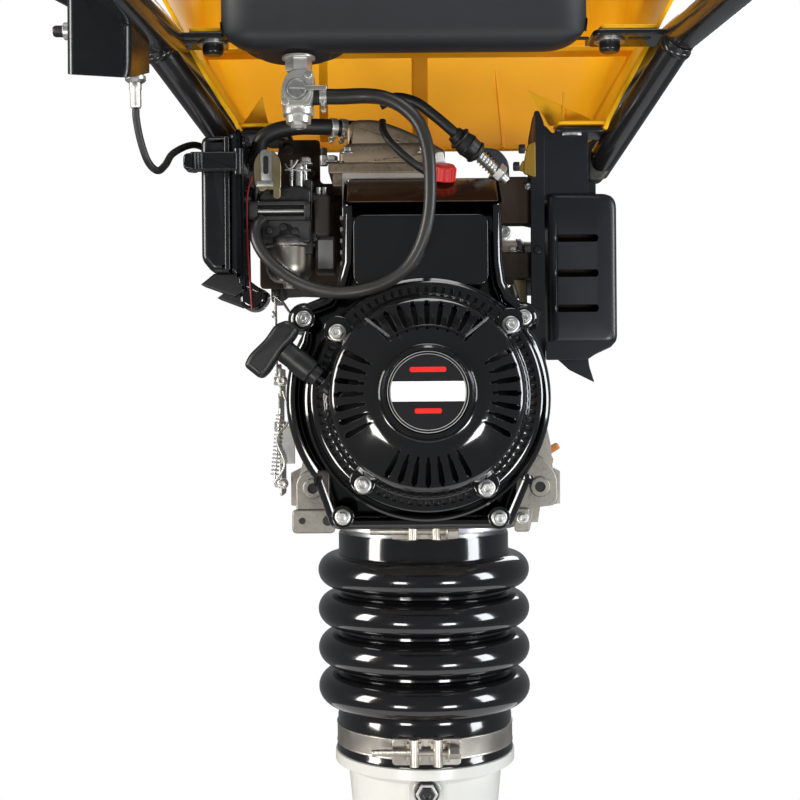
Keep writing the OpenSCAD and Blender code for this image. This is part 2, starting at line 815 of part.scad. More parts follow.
module handle_loop() {
    rear = -240;
    front = 370;
    bend = 62;
    color("#17181a") loop_plane() {
        for (s = [-1, 1]) {
            rod([s * handle_x, rear + bend, 0], [s * handle_x, front - bend, 0], tube_r);
        }
        for (y = [rear, front]) rod([-handle_x + bend, y, 0], [handle_x - bend, y, 0], tube_r);
        for (sx = [-1, 1], sy = [0, 1]) translate([sx * (handle_x - bend), sy ? front - bend : rear + bend, 0])
            rotate([0, 0, sx > 0 ? (sy ? 0 : 270) : (sy ? 90 : 180)])
                rotate_extrude(angle = 90) translate([bend, 0]) circle(r = tube_r);
        for (s = [-1, 1]) box_at([s * 92 - 3, 360, -16], [s * 92 + 3, 424, 16]);
        x_rod(408, 0, 7, -100, 100);
        box_at([-192, 130, 8], [192, 160, 12]);
    }
}

module mount_frame() {
    color("#141517") upper() {
        for (s = [-1, 1]) {
            rod([s * 195, -183, 271], [s * 144, -90, 190], 11);
            rod([s * 194, 136, 299], [s * 140, 40, 190], 11);
            rod([s * 145, -92, 192], [s * 141, -86, 184], 12.5);
            x_slab(s > 0 ? 127 : -133, s > 0 ? 133 : -127) difference() {
                polygon([[-104, 178], [-104, 206], [60, 206], [60, 168], [40, 88], [-24, 88], [-26, 178]]);
                translate([18, 166]) circle(r = 18);
            }
            box_at([s > 0 ? 130 : -192, -178, 277.8], [s > 0 ? 192 : -153, -141, 282.1]);
            box_at([s > 0 ? 106 : -146, -132, 213], [s > 0 ? 146 : -106, -98, 217]);
        }
    }
}

module rubber_mounts() {
    color("#1a1a1b") upper() for (s = [-1, 1]) {
        x_rod(8, 118, 27, s > 0 ? 86.1 : -126.9, s > 0 ? 126.9 : -86.1);
    }
}

module roller() {
    color("#212224") loop_plane() difference() {
        x_rod(408, 0, 23.5, -86, 86);
        x_rod(408, 0, 7.08, -90, 90);
    }
}

module lifting_eye() {
    color("#26282b") upper() difference() {
        union() {
            box_at([-7, -6, 166], [7, 26, eye_z]);
            box_at([-26, -14, 162], [26, 32, 168]);
            x_rod(10, eye_z, 30, -7, 7);
        }
        x_rod(10, eye_z, 17.5, -10, 10);
    }
}

module throttle_box() {
    color("#15161a") upper() difference() {
        y_slab(-300, -226) polygon([[-242, 226], [-206, 217], [-200, 224], [-199, 288], [-242, 290]]);
        x_slab(-250, -190) polygon([[-301, 190], [-225, 190], [-225, 238], [-301, 215]]);
        translate([0, joint_y, joint_z]) rotate([loop_tilt, 0, 0])
            rod([-handle_x, -160, 0], [-handle_x, 10, 0], tube_r);
        x_rod(-270, 257, 4.05, -251, -236);
    }
    color("#b9bcbf") upper() {
        translate([-207, -242, 228]) cylinder(r = 5.5, h = 8);
        translate([-207, -242, 209]) cylinder(r = 4, h = 20);
        difference() {
            x_rod(-270, 257, 6, -250, -241);
            x_rod(-270, 257, 4.05, -251, -236);
        }
    }
}

module throttle_lever() {
    color("#2c2e31") upper() {
        y_rod(lever_x, lever_z, 11, -225.7, -217);
        translate([lever_x, -217, lever_z]) rotate([0, 28, 0]) box_at([-60, -8, -8], [0, -2, 9]);
    }
}

module stop_button() {
    color("#141416") upper() x_rod(-270, 257, 4, -258, -241);
}

module throttle_cable() {
    color("#121314") upper() sweep(throttle_cable_pts, 2.6, 8);
}

shoe_plate();
shoe_pad();
foot_bracket();
foot_fasteners();
lower_leg();
cylinder_cap();
ram_springs();
bellows_clamp_lower();
spring_piston();
piston_rod();
connecting_rod();
bellows();
bellows_clamp_upper();
guide_cylinder();
rod_bush();
gear_case();
gear_case_cover();
crank_gear();
bearings();
pinion_shaft();
clutch_drum();
clutch_shoes();
crankshaft();
flywheel_fan();
engine_block();
rocker_cover();
fan_cover();
recoil_cover();
recoil_badge();
starter_pulley();
starter_grip();
machine_bolts();
ht_lead();
carburettor();
float_bowl();
choke_lever();
governor_arm();
control_plate();
filter_case();
filter_cover();
filter_latch();
breather_hose();
muffler();
muffler_guard();
oil_dipstick();
fuel_tank();
fuel_cap();
fuel_tap();
tap_lever();
fuel_hose();
cowl();
handle_loop();
mount_frame();
rubber_mounts();
roller();
lifting_eye();
throttle_box();
throttle_lever();
stop_button();
throttle_cable();
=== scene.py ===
"""Looks for the jumping jack rammer: every visible surface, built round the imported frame.

Pieces are modelled in the machine frame, in millimetres: X to the right, Y away from the operator,
Z up the leg, with the origin on the leg axis at the height of the engine shaft. LEAN turns that frame
into the row frame.
"""

import json
import math

import bmesh
import bpy
from mathutils import Matrix, Vector


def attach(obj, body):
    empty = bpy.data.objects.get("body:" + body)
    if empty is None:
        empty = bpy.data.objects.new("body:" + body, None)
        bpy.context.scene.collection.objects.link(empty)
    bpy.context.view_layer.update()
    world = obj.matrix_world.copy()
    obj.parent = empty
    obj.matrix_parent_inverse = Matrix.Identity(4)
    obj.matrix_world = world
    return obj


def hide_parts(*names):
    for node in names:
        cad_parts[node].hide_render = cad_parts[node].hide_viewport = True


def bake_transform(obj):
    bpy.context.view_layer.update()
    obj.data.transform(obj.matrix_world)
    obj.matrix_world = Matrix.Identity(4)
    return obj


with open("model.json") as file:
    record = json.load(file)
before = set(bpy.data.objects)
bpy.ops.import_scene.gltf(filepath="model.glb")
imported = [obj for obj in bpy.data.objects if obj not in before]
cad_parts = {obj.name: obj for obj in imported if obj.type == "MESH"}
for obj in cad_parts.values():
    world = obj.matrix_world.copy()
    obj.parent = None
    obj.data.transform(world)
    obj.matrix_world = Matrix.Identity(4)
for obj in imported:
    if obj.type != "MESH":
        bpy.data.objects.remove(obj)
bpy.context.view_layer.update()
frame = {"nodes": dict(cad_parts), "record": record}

MM = 0.001
LEAN = math.radians(8)
SHAFT_H = 600
LOOP_TILT = math.radians(5.1)
JOINT = Vector((0, -190, 277))
MACHINE = (
    Matrix.Rotation(-LEAN, 4, "X") @ Matrix.Translation((0, 0, SHAFT_H * MM)) @ Matrix.Scale(MM, 4)
)
LOOP = MACHINE @ Matrix.Translation(JOINT) @ Matrix.Rotation(LOOP_TILT, 4, "X")
CARB = MACHINE @ Matrix.Translation((4, 0, 0))
WORLD = Matrix.Scale(MM, 4)
OUT, UP, DOWN, RIGHT, LEFT = (0, -1, 0), (0, 0, 1), (0, 0, -1), (1, 0, 0), (-1, 0, 0)
NODES = frame["nodes"]
BODY_OF = {n: b for b, ns in frame["record"]["behaviour"]["bodies"].items() for n in ns}


# ---------------------------------------------------------------- materials
class Graph:
    """A material's node tree, with short calls for the nodes that the finishes share."""

    def __init__(self, name):
        self.material = bpy.data.materials.new(name)
        self.material.use_nodes = True
        self.tree = self.material.node_tree
        self.shader = self.tree.nodes["Principled BSDF"]
        self.place = self.node("ShaderNodeTexCoord").outputs["Object"]

    def node(self, kind, **inputs):
        n = self.tree.nodes.new(kind)
        for key, value in inputs.items():
            self.set(n, key, value)
        return n

    def set(self, n, key, value):
        socket = n.inputs[key.replace("_", " ")]
        if isinstance(value, bpy.types.NodeSocket):
            self.tree.links.new(value, socket)
        else:
            socket.default_value = value

    def stretched(self, scale):
        m = self.node("ShaderNodeMapping", Vector=self.place)
        m.inputs["Scale"].default_value = scale
        return m.outputs["Vector"]

    def noise(self, scale, detail=3.0, rough=0.5, vector=None):
        n = self.node("ShaderNodeTexNoise", Vector=vector or self.place, Scale=scale, Detail=detail)
        n.inputs["Roughness"].default_value = rough
        return n.outputs["Fac"]

    def ramp(self, fac, low, high, a=0.0, b=1.0):
        r = self.node("ShaderNodeValToRGB", Fac=fac)
        r.color_ramp.elements[0].position = low
        r.color_ramp.elements[1].position = high
        r.color_ramp.elements[0].color = (a, a, a, 1)
        r.color_ramp.elements[1].color = (b, b, b, 1)
        return r.outputs["Color"]

    def mix(self, fac, a, b):
        m = self.tree.nodes.new("ShaderNodeMix")
        m.data_type = "RGBA"
        for socket, value in ((m.inputs[0], fac), (m.inputs[6], a), (m.inputs[7], b)):
            if isinstance(value, bpy.types.NodeSocket):
                self.tree.links.new(value, socket)
            else:
                socket.default_value = value if isinstance(value, float) else (*value[:3], 1)
        return m.outputs[2]

    def spread(self, fac, low, high):
        m = self.node("ShaderNodeMapRange", Value=fac)
        m.inputs["To Min"].default_value = low
        m.inputs["To Max"].default_value = high
        return m.outputs["Result"]

    def edges(self, low=0.53, high=0.62):
        """White along sharp convex edges."""
        g = self.node("ShaderNodeNewGeometry")
        return self.ramp(g.outputs["Pointiness"], low, high)

    def bump(self, height, strength, depth_mm, under=None):
        b = self.node("ShaderNodeBump", Height=height, Strength=strength, Distance=depth_mm * MM)
        if under is not None:
            self.set(b, "Normal", under)
        return b.outputs["Normal"]

    def done(self, color, roughness, normal=None, metallic=0.0, **values):
        self.set(self.shader, "Base Color", color)
        self.set(self.shader, "Roughness", roughness)
        self.set(self.shader, "Metallic", metallic)
        if normal is not None:
            self.set(self.shader, "Normal", normal)
        for key, value in values.items():
            self.set(self.shader, key, value)
        return self.material


def shade(color, k):
    return tuple(min(1.0, c * k) for c in color)


def moulded(name, color, rough, grain=900.0, depth=0.08, worn=None, vary=0.12, **values):
    """Moulded plastic or rubber: a fine pebbled skin, patchy sheen and slightly scuffed edges."""
    g = Graph(name)
    patches = g.noise(14, 4)
    skin = g.noise(grain, 2, 0.6)
    scuffs = g.noise(90, 6, 0.7)
    base = g.mix(patches, shade(color, 1 - vary), shade(color, 1 + vary))
    edge = g.mix(g.edges(), base, worn or shade(color, 1.9))
    roughness = g.spread(scuffs, rough - 0.08, rough + 0.1)
    normal = g.bump(skin, 0.35, depth, g.bump(patches, 0.08, 0.4))
    return g.done(edge, roughness, normal, **values)


def enamel(name, color, rough, peel=0.03, worn=None, coat=0.0, **values):
    """Sprayed paint: faint orange peel, soft sheen variation, thin wear on the edges."""
    g = Graph(name)
    cloud = g.noise(9, 3)
    peel_noise = g.noise(260, 2, 0.45)
    dust = g.noise(55, 8, 0.7)
    base = g.mix(cloud, shade(color, 0.86), shade(color, 1.14))
    edge = g.mix(g.edges(0.56, 0.7), base, worn or shade(color, 1.6))
    roughness = g.spread(dust, max(0.02, rough - 0.05), rough + 0.07)
    normal = g.bump(peel_noise, 0.25, peel)
    return g.done(edge, roughness, normal, Coat_Weight=coat, Coat_Roughness=0.06, **values)


def cast(name, color, rough=0.5, depth=0.25, metallic=0.85):
    """Sand-cast aluminium: a coarse skin with darker pits and rubbed edges."""
    g = Graph(name)
    coarse = g.noise(420, 5, 0.65)
    fine = g.noise(1500, 2, 0.5)
    stain = g.noise(22, 5, 0.6)
    base = g.mix(g.ramp(stain, 0.35, 0.7), shade(color, 0.72), shade(color, 1.12))
    pits = g.mix(g.ramp(coarse, 0.3, 0.52), shade(color, 0.6), base)
    edge = g.mix(g.edges(0.53, 0.6), pits, shade(color, 1.45))
    normal = g.bump(fine, 0.3, 0.06, g.bump(coarse, 0.5, depth))
    return g.done(edge, g.spread(coarse, rough - 0.1, rough + 0.18), normal, metallic)


def steel(name, color, rough=0.28, along=(1, 1, 40), metallic=1.0, tint=None):
    """Plated or turned steel: fine drawn lines, a faint tint in patches and soft smudges."""
    g = Graph(name)
    lines = g.noise(220, 3, 0.6, g.stretched(along))
    smudge = g.noise(40, 5, 0.6)
    base = g.mix(g.ramp(smudge, 0.35, 0.7), shade(color, 0.8), tint or shade(color, 1.08))
    lined = g.mix(g.spread(lines, 0.0, 0.35), base, shade(color, 0.62))
    normal = g.bump(lines, 0.15, 0.03)
    return g.done(lined, g.spread(smudge, rough - 0.07, rough + 0.14), normal, metallic)


def laminate(name):
    """Pressed laminated wood: thin glued layers with streaks of grain."""
    g = Graph(name)
    wave = g.node("ShaderNodeTexWave", Vector=g.place, Scale=46.0, Distortion=1.2, Detail=2.0)
    wave.bands_direction = "Z"
    layers = wave.outputs["Fac"]
    grain = g.noise(60, 6, 0.65, g.stretched((1, 1, 14)))
    base = g.mix(g.ramp(layers, 0.25, 0.6), (0.14, 0.075, 0.035), (0.34, 0.2, 0.1))
    streaked = g.mix(g.spread(grain, 0.0, 0.6), base, (0.09, 0.05, 0.028))
    normal = g.bump(grain, 0.3, 0.2, g.bump(layers, 0.25, 0.25))
    return g.done(streaked, g.spread(grain, 0.42, 0.68), normal)


def yellow_plastic():
    """The cowl: satin yellow moulding with faint flow marks."""
    g = Graph("yellow_plastic")
    flow = g.noise(5, 4, 0.55, g.stretched((1, 1, 0.4)))
    skin = g.noise(700, 2, 0.5)
    dust = g.noise(70, 7, 0.7)
    base = g.mix(flow, (0.97, 0.46, 0.008), (1.0, 0.52, 0.012))
    edge = g.mix(g.edges(0.53, 0.6), base, (1.0, 0.55, 0.06))
    normal = g.bump(skin, 0.2, 0.05, g.bump(flow, 0.1, 0.6))
    return g.done(edge, g.spread(dust, 0.4, 0.52), normal, Specular_IOR_Level=0.1)


def bellows_rubber():
    """Glossy wet-looking rubber with dull, dusty patches."""
    g = Graph("bellows_rubber")
    film = g.noise(30, 6, 0.62)
    skin = g.noise(520, 2, 0.5)
    base = g.mix(film, (0.0035, 0.0035, 0.0042), (0.007, 0.007, 0.008))
    normal = g.bump(skin, 0.1, 0.03, g.bump(film, 0.05, 0.3))
    return g.done(base, g.spread(film, 0.1, 0.18), normal, Coat_Weight=0.7, Coat_Roughness=0.04)


def exhaust_metal():
    """Heat-tinted exhaust steel, brown and blue, with scale."""
    g = Graph("exhaust_metal")
    heat = g.noise(16, 4, 0.6)
    scale = g.noise(480, 5, 0.7)
    base = g.mix(g.ramp(heat, 0.3, 0.65), (0.02, 0.017, 0.016), (0.075, 0.052, 0.036))
    normal = g.bump(scale, 0.5, 0.15)
    return g.done(base, g.spread(scale, 0.45, 0.75), normal, 0.8)


# Keyed by plain name: Blender adds a number where a CAD material already has the name.
M = {finish.name.split(".")[0]: finish for finish in (
    enamel("silver_paint", (0.66, 0.655, 0.62), 0.3, 0.05, (0.75, 0.75, 0.75), 0.25),
    enamel("dark_enamel", (0.016, 0.0165, 0.018), 0.3, 0.05, (0.1, 0.1, 0.1), 0.3),
    enamel("frame_enamel", (0.012, 0.012, 0.013), 0.24, 0.03, (0.06, 0.06, 0.06), 0.4),
    cast("worn_enamel", (0.085, 0.083, 0.076), 0.5, 0.1, 0.4),
    enamel("shroud_enamel", (0.05, 0.054, 0.066), 0.3, 0.03, (0.12, 0.13, 0.15), 0.2),
    # Dark amber: a painted reflection of the yellow cowl, used on the fan cover's top slope and on the
    # guard's edge.
    enamel("cowl_reflection_enamel", (0.026, 0.0095, 0.0028), 0.2, 0.03, (0.12, 0.05, 0.012), 0.3),
    enamel("mustard", (0.28, 0.16, 0.012), 0.4, 0.04, (0.4, 0.26, 0.04), 0.1),
    enamel("safety_yellow", (0.85, 0.36, 0.012), 0.42, 0.05, (0.9, 0.45, 0.05), 0.1),
    enamel("gloss_enamel", (0.0055, 0.0055, 0.006), 0.1, 0.02, (0.02, 0.02, 0.02), 0.6),
    enamel("guard_enamel", (0.0058, 0.0072, 0.0105), 0.36, 0.05, (0.03, 0.033, 0.04), 0.1),
    steel("zinc", (0.7, 0.71, 0.7), 0.38, (1, 1, 1), 1.0, (0.78, 0.76, 0.7)),
    steel("band_steel", (0.62, 0.58, 0.52), 0.34, (1, 1, 60)),
    steel("turned_steel", (0.52, 0.53, 0.55), 0.3, (1, 1, 20)),
    steel("brass", (0.42, 0.33, 0.16), 0.34, (1, 1, 1), 1.0, (0.46, 0.4, 0.26)),
    cast("cast_alloy", (0.4, 0.375, 0.34)),
    # Cast aluminium tinted tan: painted warm light, used on the rocker cover.
    cast("alloy_with_painted_warm_light", (0.3, 0.235, 0.165), 0.42, 0.12),
    cast("ear_alloy", (0.36, 0.34, 0.3), 0.42, 0.1),
    cast("carb_zinc", (0.075, 0.075, 0.075), 0.38, 0.1),
    cast("tap_zinc", (0.52, 0.52, 0.49), 0.3, 0.06),
    exhaust_metal(),
    laminate("laminate"),
    yellow_plastic(),
    bellows_rubber(),
    moulded("tank_plastic", (0.015, 0.017, 0.02), 0.55, 1100, 0.05, (0.03, 0.034, 0.04), 0.08),
    moulded("black_plastic", (0.0085, 0.0085, 0.009), 0.4),
    moulded("satin_plastic", (0.0055, 0.006, 0.007), 0.24, 1300, 0.03),
    moulded("rubber", (0.0075, 0.0075, 0.0078), 0.45, 800, 0.06),
    moulded("hose_rubber", (0.022, 0.021, 0.02), 0.38, 900, 0.03),
    moulded("brown_plastic", (0.016, 0.0115, 0.008), 0.34),
    moulded("orange_plastic", (0.5, 0.16, 0.01), 0.4, 900, 0.05, (0.6, 0.25, 0.03)),
    moulded("red_wire", (0.16, 0.006, 0.008), 0.4),
    moulded("red_plastic", (0.5, 0.01, 0.008), 0.35),
    moulded("white_plastic", (0.72, 0.71, 0.68), 0.4),
    moulded("phenolic", (0.045, 0.035, 0.03), 0.5),
    moulded("badge_film", (0.011, 0.011, 0.012), 0.2, 400, 0.01),
    moulded("grey_gasket", (0.3, 0.3, 0.3), 0.6),
)}


# ---------------------------------------------------------------- mesh helpers
def add_piece(bm, name, material, space=MACHINE, replaces="", bevel=0.0, segments=2, angle=32,
              body=""):
    """Turns a bmesh in millimetres into a finished piece on its CAD node's body, or on the one named."""
    obj = new_object(bm, name, material, space, bevel, segments, angle)
    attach(obj, body or BODY_OF.get(replaces, "machine"))
    if replaces:
        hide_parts(replaces)
    return obj


def new_object(bm, name, material, space=MACHINE, bevel=0.0, segments=2, angle=32):
    """An object with a finish and no body yet."""
    bmesh.ops.recalc_face_normals(bm, faces=bm.faces)
    mesh = bpy.data.meshes.new(name)
    bm.to_mesh(mesh)
    bm.free()
    mesh.transform(space)
    mesh.materials.append(M[material])
    obj = bpy.data.objects.new(name, mesh)
    bpy.context.scene.collection.objects.link(obj)
    finish_surface(obj, bevel, segments, angle)
    return obj


def finish_surface(obj, bevel, segments, angle):
    for polygon in obj.data.polygons:
        polygon.use_smooth = True
    if bevel:
        soften(obj, bevel, segments, angle)
        obj.modifiers.new("normals", "WEIGHTED_NORMAL").keep_sharp = True
    else:
        obj.data.set_sharp_from_angle(angle=math.radians(angle))


def soften(obj, width, segments, angle=40):
    """Rounds the edges that are sharper than an angle."""
    modifier = obj.modifiers.new("round", "BEVEL")
    modifier.width = width * MM
    modifier.segments = segments
    modifier.limit_method = "ANGLE"
    modifier.angle_limit = math.radians(angle)


def thicken(obj, wall, offset=-1):
    """Gives a surface a wall, on its inside unless told otherwise."""
    modifier = obj.modifiers.new("wall", "SOLIDIFY")
    modifier.thickness = wall * MM
    modifier.offset = offset


def dress(node, material, bevel):
    """A copy of a CAD piece with rounded edges and its own finish, in place of the plain one."""
    bm = bmesh.new()
    bm.from_mesh(NODES[node].data)
    bmesh.ops.remove_doubles(bm, verts=bm.verts, dist=2e-6)
    bmesh.ops.dissolve_limit(bm, angle_limit=math.radians(1), verts=bm.verts, edges=bm.edges)
    bmesh.ops.transform(bm, matrix=Matrix.Scale(1 / MM, 4), verts=bm.verts)
    add_piece(bm, node + "_finish", material, WORLD, node, bevel)


def paint(node, material):
    """Keeps a CAD piece and gives it a finish."""
    data = NODES[node].data
    data.materials.clear()
    data.materials.append(M[material])


def basis(direction):
    """Rotation that takes +Z to a direction."""
    return Vector(direction).normalized().to_track_quat("Z", "Y").to_matrix().to_4x4()


def circle(segs):
    """The cosines and sines of a full turn."""
    return [(math.cos(2 * math.pi * k / segs), math.sin(2 * math.pi * k / segs)) for k in range(segs)]


def ring_of(bm, points):
    return [bm.verts.new(p) for p in points]


def outline_edges(bm, ring):
    return [bm.edges.new((ring[i], ring[(i + 1) % len(ring)])) for i in range(len(ring))]


def bridge(bm, a, b, closed=True):
    n = len(a)
    for i in range(n if closed else n - 1):
        bm.faces.new((a[i], a[(i + 1) % n], b[(i + 1) % n], b[i]))


def cap_ends(bm, rings):
    bm.faces.new(rings[0])
    bm.faces.new(list(reversed(rings[-1])))


def lathe(bm, profile, at=(0, 0, 0), axis=UP, segs=96):
    """Turns (radius, height) points about an axis; a closed profile makes a solid ring."""
    place = Matrix.Translation(at) @ basis(axis)
    rings = []
    for r, h in profile:
        if r < 1e-6:
            rings.append([bm.verts.new(place @ Vector((0, 0, h)))])
            continue
        rings.append(ring_of(bm, [place @ Vector((r * c, r * s, h)) for c, s in circle(segs)]))
    for a, b in zip(rings, rings[1:]):
        if len(a) == 1 and len(b) == 1:
            continue
        if len(a) == 1 or len(b) == 1:
            tip, rim = (a[0], b) if len(a) == 1 else (b[0], a)
            for k in range(segs):
                bm.faces.new((tip, rim[k], rim[(k + 1) % segs]))
        else:
            bridge(bm, a, b)
    return rings


def rod(bm, p, q, r, r2=None, segs=32):
    p, q = Vector(p), Vector(q)
    length = (q - p).length
    lathe(bm, [(0, 0), (r, 0), (r if r2 is None else r2, length), (0, length)], p, q - p, segs)


def cushion(radius, height, r_edge, steps=4):
    """Profile of a disc whose upper edge is rounded."""
    points = [(0, 0), (radius, 0)]
    for i in range(steps + 1):
        a = math.pi / 2 * i / steps
        points.append((radius - r_edge + r_edge * math.cos(a), height - r_edge + r_edge * math.sin(a)))
    return points + [(0, height)]


def box(bm, lo, hi):
    verts = [bm.verts.new((x, y, z)) for x in (lo[0], hi[0]) for y in (lo[1], hi[1]) for z in (lo[2], hi[2])]
    for f in ((0, 1, 3, 2), (4, 6, 7, 5), (0, 4, 5, 1), (2, 3, 7, 6), (0, 2, 6, 4), (1, 5, 7, 3)):
        bm.faces.new([verts[i] for i in f])


def prism(bm, outline, lo, hi, axis="Y"):
    """An outline drawn out along an axis: (x, z) along Y, (y, z) along X, (x, y) along Z."""
    lift = {
        "Y": lambda a, b, t: (a, t, b),
        "X": lambda a, b, t: (t, a, b),
        "Z": lambda a, b, t: (a, b, t),
    }[axis]
    near = ring_of(bm, [lift(a, b, lo) for a, b in outline])
    far = ring_of(bm, [lift(a, b, hi) for a, b in outline])
    bridge(bm, near, far)
    cap_ends(bm, (near, far))
    return near + far


def rounded(corners, radius, steps=5):
    """An outline with its corners rounded; radius may be one number or one per corner."""
    out = []
    n = len(corners)
    for i in range(n):
        r = radius[i] if isinstance(radius, (list, tuple)) else radius
        p = Vector(corners[i])
        a = (Vector(corners[i - 1]) - p)
        b = (Vector(corners[(i + 1) % n]) - p)
        reach = min(r, a.length * 0.49, b.length * 0.49)
        a, b = a.normalized() * reach, b.normalized() * reach
        for k in range(steps + 1):
            t = k / steps
            out.append(tuple(p + a * (1 - t) ** 2 + b * t ** 2))
    return out


def plate(x0, z0, x1, z1, radius, steps=5):
    return rounded([(x0, z0), (x1, z0), (x1, z1), (x0, z1)], radius, steps)


def smooth_path(points, per=8):
    """A Catmull-Rom curve through the points."""
    p = [Vector(v) for v in points]
    p = [p[0] * 2 - p[1]] + p + [p[-1] * 2 - p[-2]]
    out = []
    for i in range(1, len(p) - 2):
        for k in range(per):
            t = k / per
            out.append(0.5 * (
                2 * p[i] + (p[i + 1] - p[i - 1]) * t
                + (2 * p[i - 1] - 5 * p[i] + 4 * p[i + 1] - p[i + 2]) * t * t
                + (3 * p[i] - p[i - 1] - 3 * p[i + 1] + p[i + 2]) * t ** 3))
    out.append(p[-2])
    return out


def tube(bm, points, r, segs=20):
    """A round tube along points; r is one radius or a function of the share of the way along."""
    pts = [Vector(v) for v in points]
    side = None
    rings = []
    for i, p in enumerate(pts):
        ahead = (pts[min(i + 1, len(pts) - 1)] - pts[max(i - 1, 0)]).normalized()
        if side is None:
            side = ahead.orthogonal().normalized()
        side = (side - side.dot(ahead) * ahead).normalized()
        up = ahead.cross(side)
        radius = r(i / (len(pts) - 1)) if callable(r) else r
        rings.append(ring_of(bm, [p + radius * (c * side + s * up) for c, s in circle(segs)]))
    for a, b in zip(rings, rings[1:]):
        bridge(bm, a, b)
    cap_ends(bm, rings)


def hexagon(bm, place, levels, turn=0):
    """A closed hexagonal prism through (radius, height) levels."""
    rings = []
    for r, z in levels:
        angles = [math.radians(60 * i + turn) for i in range(6)]
        rings.append(ring_of(bm, [place @ Vector((r * math.cos(a), r * math.sin(a), z)) for a in angles]))
    for a, b in zip(rings, rings[1:]):
        bridge(bm, a, b)
    cap_ends(bm, rings)


def hex_bolt(bm, at, direction, r, washer=True, height=None):
    """A flange bolt head: washer flange, chamfered hexagon and a shallow dimple."""
    h = height or r
    if washer:
        lathe(bm, [(0, 0), (r * 1.3, 0), (r * 1.34, 0.5), (r * 1.25, 1.4), (r * 0.95, 1.9), (0, 1.9)],
              at, direction, 28)
    base = 1.6 if washer else 0
    levels = [(1.0, base), (1.0, base + h * 0.78), (0.86, base + h), (0.5, base + h), (0.4, base + h * 0.86)]
    hexagon(bm, Matrix.Translation(at) @ basis(direction), [(r * k, z) for k, z in levels])


# ---------------------------------------------------------------- CAD pieces with finishes
INNER = {
    "ram_springs": "dark_enamel", "spring_piston": "turned_steel", "piston_rod": "turned_steel",
    "connecting_rod": "turned_steel", "guide_cylinder": "turned_steel", "rod_bush": "brass",
    "crank_gear": "turned_steel", "bearings": "zinc", "pinion_shaft": "turned_steel",
    "clutch_drum": "turned_steel", "clutch_shoes": "brown_plastic", "crankshaft": "turned_steel",
    # The flywheel fan is painted dark: painted shade, so the louvres of the recoil cover read black.
    "flywheel_fan": "dark_enamel", "cylinder_cap": "turned_steel", "starter_pulley": "black_plastic",
}
for inner, look in INNER.items():
    paint(inner, look)

DRESSED = {
    "shoe_plate": ("dark_enamel", 1.5), "shoe_pad": ("laminate", 2.0), "foot_bracket": ("dark_enamel", 2.0),
    "foot_fasteners": ("zinc", 0.8), "gear_case": ("cast_alloy", 1.5), "gear_case_cover": ("cast_alloy", 1.5),
    "engine_block": ("cast_alloy", 1.0),
    "lifting_eye": ("safety_yellow", 2.0),
    "throttle_lever": ("satin_plastic", 1.5),
}


# ---------------------------------------------------------------- covers of the engine
RING_R = 100
RING_AT = (-6, 1.5)
RECOIL_SPACE = MACHINE @ Matrix(((1, 0, 0, 0), (0, 1, 0, 0), (0, -0.065, 1, -10.7), (0, 0, 0, 1)))
FRONT = -195.2
RECOIL_BOLTS = ((-66, 50), (62.4, 55), (-47.8, -62.6), (43.6, -65.8))
COVER_BOLTS = ((-63.5, -87.4), (53.6, -88.8), (-91.6, 61.4), (73.2, 61))


def cushioned(bm, outline, lo, hi, edge, axis="Y", steps=4, reach=None):
    """An outline drawn out along an axis, its ends rounded over by an edge radius, or reach long if given."""
    reach = reach or edge
    n = len(outline)
    pts = [Vector(p) for p in outline]
    area = sum(pts[i - 1].x * pts[i].y - pts[i].x * pts[i - 1].y for i in range(n))
    side = 1 if area > 0 else -1
    inward = []
    for i in range(n):
        d = (pts[(i + 1) % n] - pts[i - 1]).normalized()
        inward.append(Vector((-d.y, d.x)) * side)
    lift = {
        "Y": lambda p, t: (p.x, t, p.y),
        "X": lambda p, t: (t, p.x, p.y),
        "Z": lambda p, t: (p.x, p.y, t),
    }[axis]
    rings = []
    for k in range(steps + 1):
        a = math.pi / 2 * k / steps
        inset, t = edge * (1 - math.sin(a)), lo + reach * (1 - math.cos(a))
        rings.append(ring_of(bm, [lift(p + q * inset, t) for p, q in zip(pts, inward)]))
    for k in range(steps + 1):
        a = math.pi / 2 * (steps - k) / steps
        inset, t = edge * (1 - math.sin(a)), hi - reach * (1 - math.cos(a))
        rings.append(ring_of(bm, [lift(p + q * inset, t) for p, q in zip(pts, inward)]))
    for a, b in zip(rings, rings[1:]):
        bridge(bm, a, b)
    cap_ends(bm, rings)


def arc(cx, cz, r, start, end, steps=24):
    """Points on a circle, angles in degrees from +X towards +Z."""
    return [
        (cx + r * math.cos(math.radians(start + (end - start) * k / steps)),
         cz + r * math.sin(math.radians(start + (end - start) * k / steps)))
        for k in range(steps + 1)
    ]


def cover_outline():
    """The fan cover from the operator's side: round below, ears half-way up, a tower on top."""
    base = rounded([(-86, -58), (-72.5, -97.5), (63, -97.5), (80, -58)], [0.1, 7, 7, 0.1])
    right = arc(*RING_AT, RING_R, -35.5, 33, 24) + arc(73.2, 61, 12.5, -40, 96, 12) + [(65, 79), (60.5, 89),
                                                                                       (58.5, 104)]
    tower = rounded([(58, 140), (58, 184), (-62, 184), (-62, 140)], [0.1, 13, 13, 0.1])
    left = [(-63, 104), (-67, 89), (-76, 79)] + arc(-91.6, 61.4, 12.5, 80, 230, 12) + arc(*RING_AT, RING_R,
                                                                                          151, 215, 24)
    return base + right + tower + left


